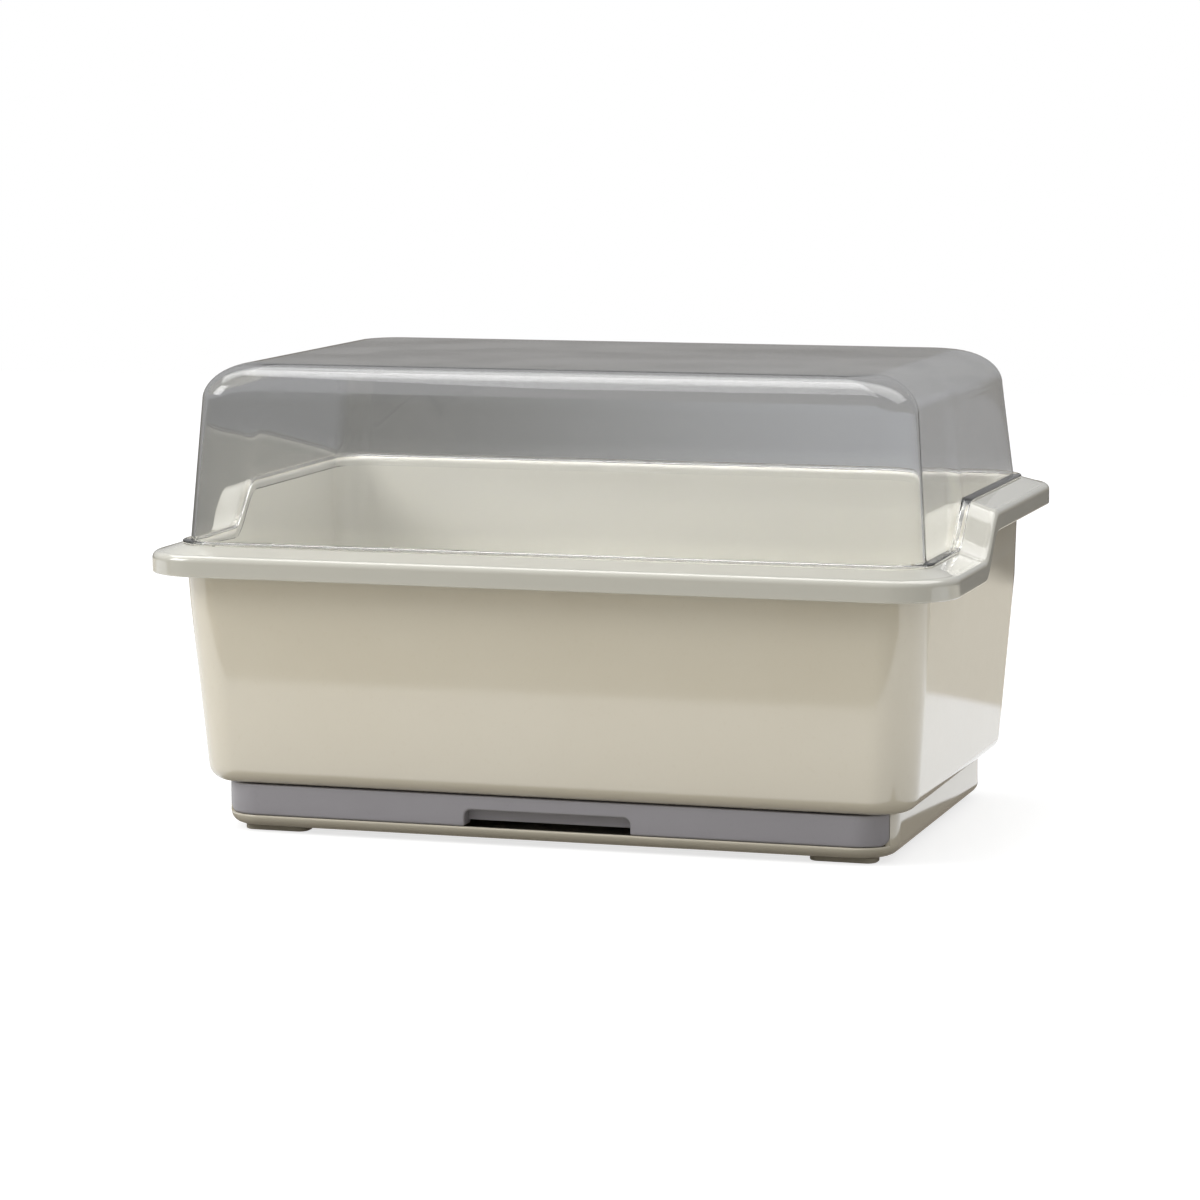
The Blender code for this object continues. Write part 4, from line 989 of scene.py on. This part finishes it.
smoke, smoke_shader, smoke_place = finish("clear_smoke_plastic", IOR=1.49, Transmission_Weight=1.0)
smoke_share = above_step(smoke_place).between(0.176, 0.190) * 0.9 + smoke_place.noise(6.0) * 0.12
smoke_share.blend(SMOKE_FOOT, SMOKE).into(smoke_shader, "Base Color")
(smoke_place.noise(30.0, 4.0).between(0.45, 0.75) * 0.05 + 0.02).into(smoke_shader, "Roughness")
smoke_place.noise(9.0, 1.0).bump(0.12, 0.0012).into(smoke_shader, "Normal")
lid_grid = hoops(lid_rows(), ring(20, 30, 72), climb=step_up)
lid_skin = skin(lid_grid, cap_first=True, cap_last=True)
lid = piece("lid_dome", [lid_skin], smoke, "lid", ["lid"])
lid.visible_shadow = False

# Stage and light
# A floor and background that give each kind of ray its own picture: the camera sees white with the rack's
# shadow, reflections see a glowing pale table with a painted shadow under the rack, and rays through the lid
# see mid grey. The light the table throws back carries the same painted shadow. A soft lamp overhead is kept
# out of reflections, one shines from the front left, and a strip over the rear shows in reflections only.
FLOOR_REACH = 3.0
TABLE = (0.80, 0.80, 0.79)
ROUND_TABLE = (0.30, 0.27, 0.22)
# Colours of the rack's painted shadow on the table: for the light the table throws back, and for reflections.
PAINTED_SHADOW_LIT = (0.16, 0.15, 0.13)
PAINTED_SHADOW_MIRRORED = (0.26, 0.23, 0.19)
MIRRORED_STOPS = ((-0.80, (0.40, 0.40, 0.38)), (-0.441, (0.20, 0.18, 0.14)), (-0.431, (1.0, 1.0, 1.0)),
                  (0.41, (1.0, 1.0, 1.0)), (0.42, (0.66, 0.62, 0.54)), (0.97, (0.66, 0.62, 0.54)),
                  (1.05, (0.12, 0.11, 0.10)))
SHOWN_GLOW = 0.72
BEHIND_LEFT = (0.235, 0.235, 0.225)
BEHIND_RIGHT = (0.47, 0.48, 0.50)
ROOM_STOPS = ((0.0, (0.20, 0.18, 0.15)), (0.50, (0.22, 0.20, 0.17)), (0.56, (0.46, 0.46, 0.46)),
              (1.0, (0.80, 0.81, 0.83)))
ROOM_BEHIND = (0.365, 0.365, 0.365)
WHITE = (1.0, 1.0, 1.0)

floor_mesh = bpy.data.meshes.new("stage_floor")
floor_corners = [(x * FLOOR_REACH, y * FLOOR_REACH, 0) for x, y in ((-1, -1), (1, -1), (1, 1), (-1, 1))]
floor_mesh.from_pydata(floor_corners, [], [(0, 1, 2, 3)])
stage_floor = bpy.data.objects.new("stage_floor", floor_mesh)
bpy.context.scene.collection.objects.link(stage_floor)
floor_paint = bpy.data.materials.new("stage_floor")
floor_paint.use_nodes = True
floor_tree = floor_paint.node_tree
floor_tree.nodes.remove(floor_tree.nodes["Principled BSDF"])
spot = Dye(floor_tree, floor_tree.nodes.new("ShaderNodeTexCoord").outputs["Object"])
across, depth, _ = spot.parts()
table_share = (1 - depth.between(0.36, 0.44)) * depth.between(-0.47, -0.41)
table = table_share.blend(ROUND_TABLE, TABLE)
stops = [((y + FLOOR_REACH) / (2 * FLOOR_REACH), color) for y, color in MIRRORED_STOPS]
beyond = spot.node("ShaderNodeValToRGB", {"stops": stops}, {0: depth * (1 / (2 * FLOOR_REACH)) + 0.5})
# The rack's painted shadow: a darker patch under its footprint, reaching further right towards the front.
painted_shadow = (1 - (across + depth * 0.32).between(0.253, 0.260)) * across.between(-0.244, -0.230)
painted_shadow = painted_shadow * (1 - depth.math("ABSOLUTE", depth).between(0.185, 0.200))
lit = spot.node("ShaderNodeBsdfDiffuse", None, {"Color": painted_shadow.blend(table, PAINTED_SHADOW_LIT)})
mirrored = spot.node("ShaderNodeEmission", None, {"Color": painted_shadow.blend(beyond, PAINTED_SHADOW_MIRRORED)})
shown_base = spot.node("ShaderNodeBsdfDiffuse", None, {"Color": (0.5, 0.5, 0.5, 1.0)})
shown_glow = spot.node("ShaderNodeEmission", None, {"Color": (*WHITE, 1.0), "Strength": SHOWN_GLOW})
shown = spot.node("ShaderNodeAddShader", None, {0: shown_base, 1: shown_glow})
sideways = across * math.cos(VIEW_TURN) + depth * math.sin(VIEW_TURN)
behind_color = sideways.between(-0.35, 0.45).blend(BEHIND_LEFT, BEHIND_RIGHT)
behind = spot.node("ShaderNodeEmission", None, {"Color": behind_color})
surface = lit
for ray, seen in (("Is Glossy Ray", mirrored), ("Is Transmission Ray", behind), ("Is Camera Ray", shown)):
    is_ray = spot.node("ShaderNodeLightPath", output=ray)
    surface = spot.node("ShaderNodeMixShader", None, {0: is_ray, 1: surface, 2: seen})
surface.into(floor_tree.nodes["Material Output"], "Surface")
floor_mesh.materials.append(floor_paint)

world = bpy.data.worlds.new("studio")
bpy.context.scene.world = world
world.use_nodes = True
world_tree = world.node_tree
way = Dye(world_tree, world_tree.nodes.new("ShaderNodeTexCoord").outputs["Generated"])
room = way.node("ShaderNodeValToRGB", {"stops": ROOM_STOPS}, {0: way.parts()[2] * 0.5 + 0.5})
through = way.node("ShaderNodeLightPath", output="Is Transmission Ray").blend(room, ROOM_BEHIND)
backdrop = way.node("ShaderNodeLightPath", output="Is Camera Ray").blend(through, WHITE)
backdrop.into(world_tree.nodes["Background"], "Color")


def soft_lamp(name, place, target, size, watts, diffuse=True, glossy=True):
    """A rectangular lamp at a place, turned to face a target."""
    data = bpy.data.lights.new(name, "AREA")
    data.shape = "RECTANGLE"
    data.size, data.size_y = size
    data.energy = watts
    lamp = bpy.data.objects.new(name, data)
    lamp.location = place
    lamp.rotation_euler = (Vector(target) - Vector(place)).to_track_quat("-Z", "Y").to_euler()
    lamp.visible_diffuse = diffuse
    lamp.visible_glossy = glossy
    bpy.context.scene.collection.objects.link(lamp)


soft_lamp("overhead_lamp", (-0.3, -0.1, 1.7), (0.0, 0.0, 0.1), (1.4, 0.9), 16.0, glossy=False)
soft_lamp("front_lamp", (-1.8, -1.2, 1.4), (0.0, 0.0, 0.1), (1.2, 1.0), 19.0)
soft_lamp("shoulder_strip", (-0.1, 0.40, 1.7), (-0.1, 0.40, 0.0), (3.2, 1.3), 25.0, diffuse=False)
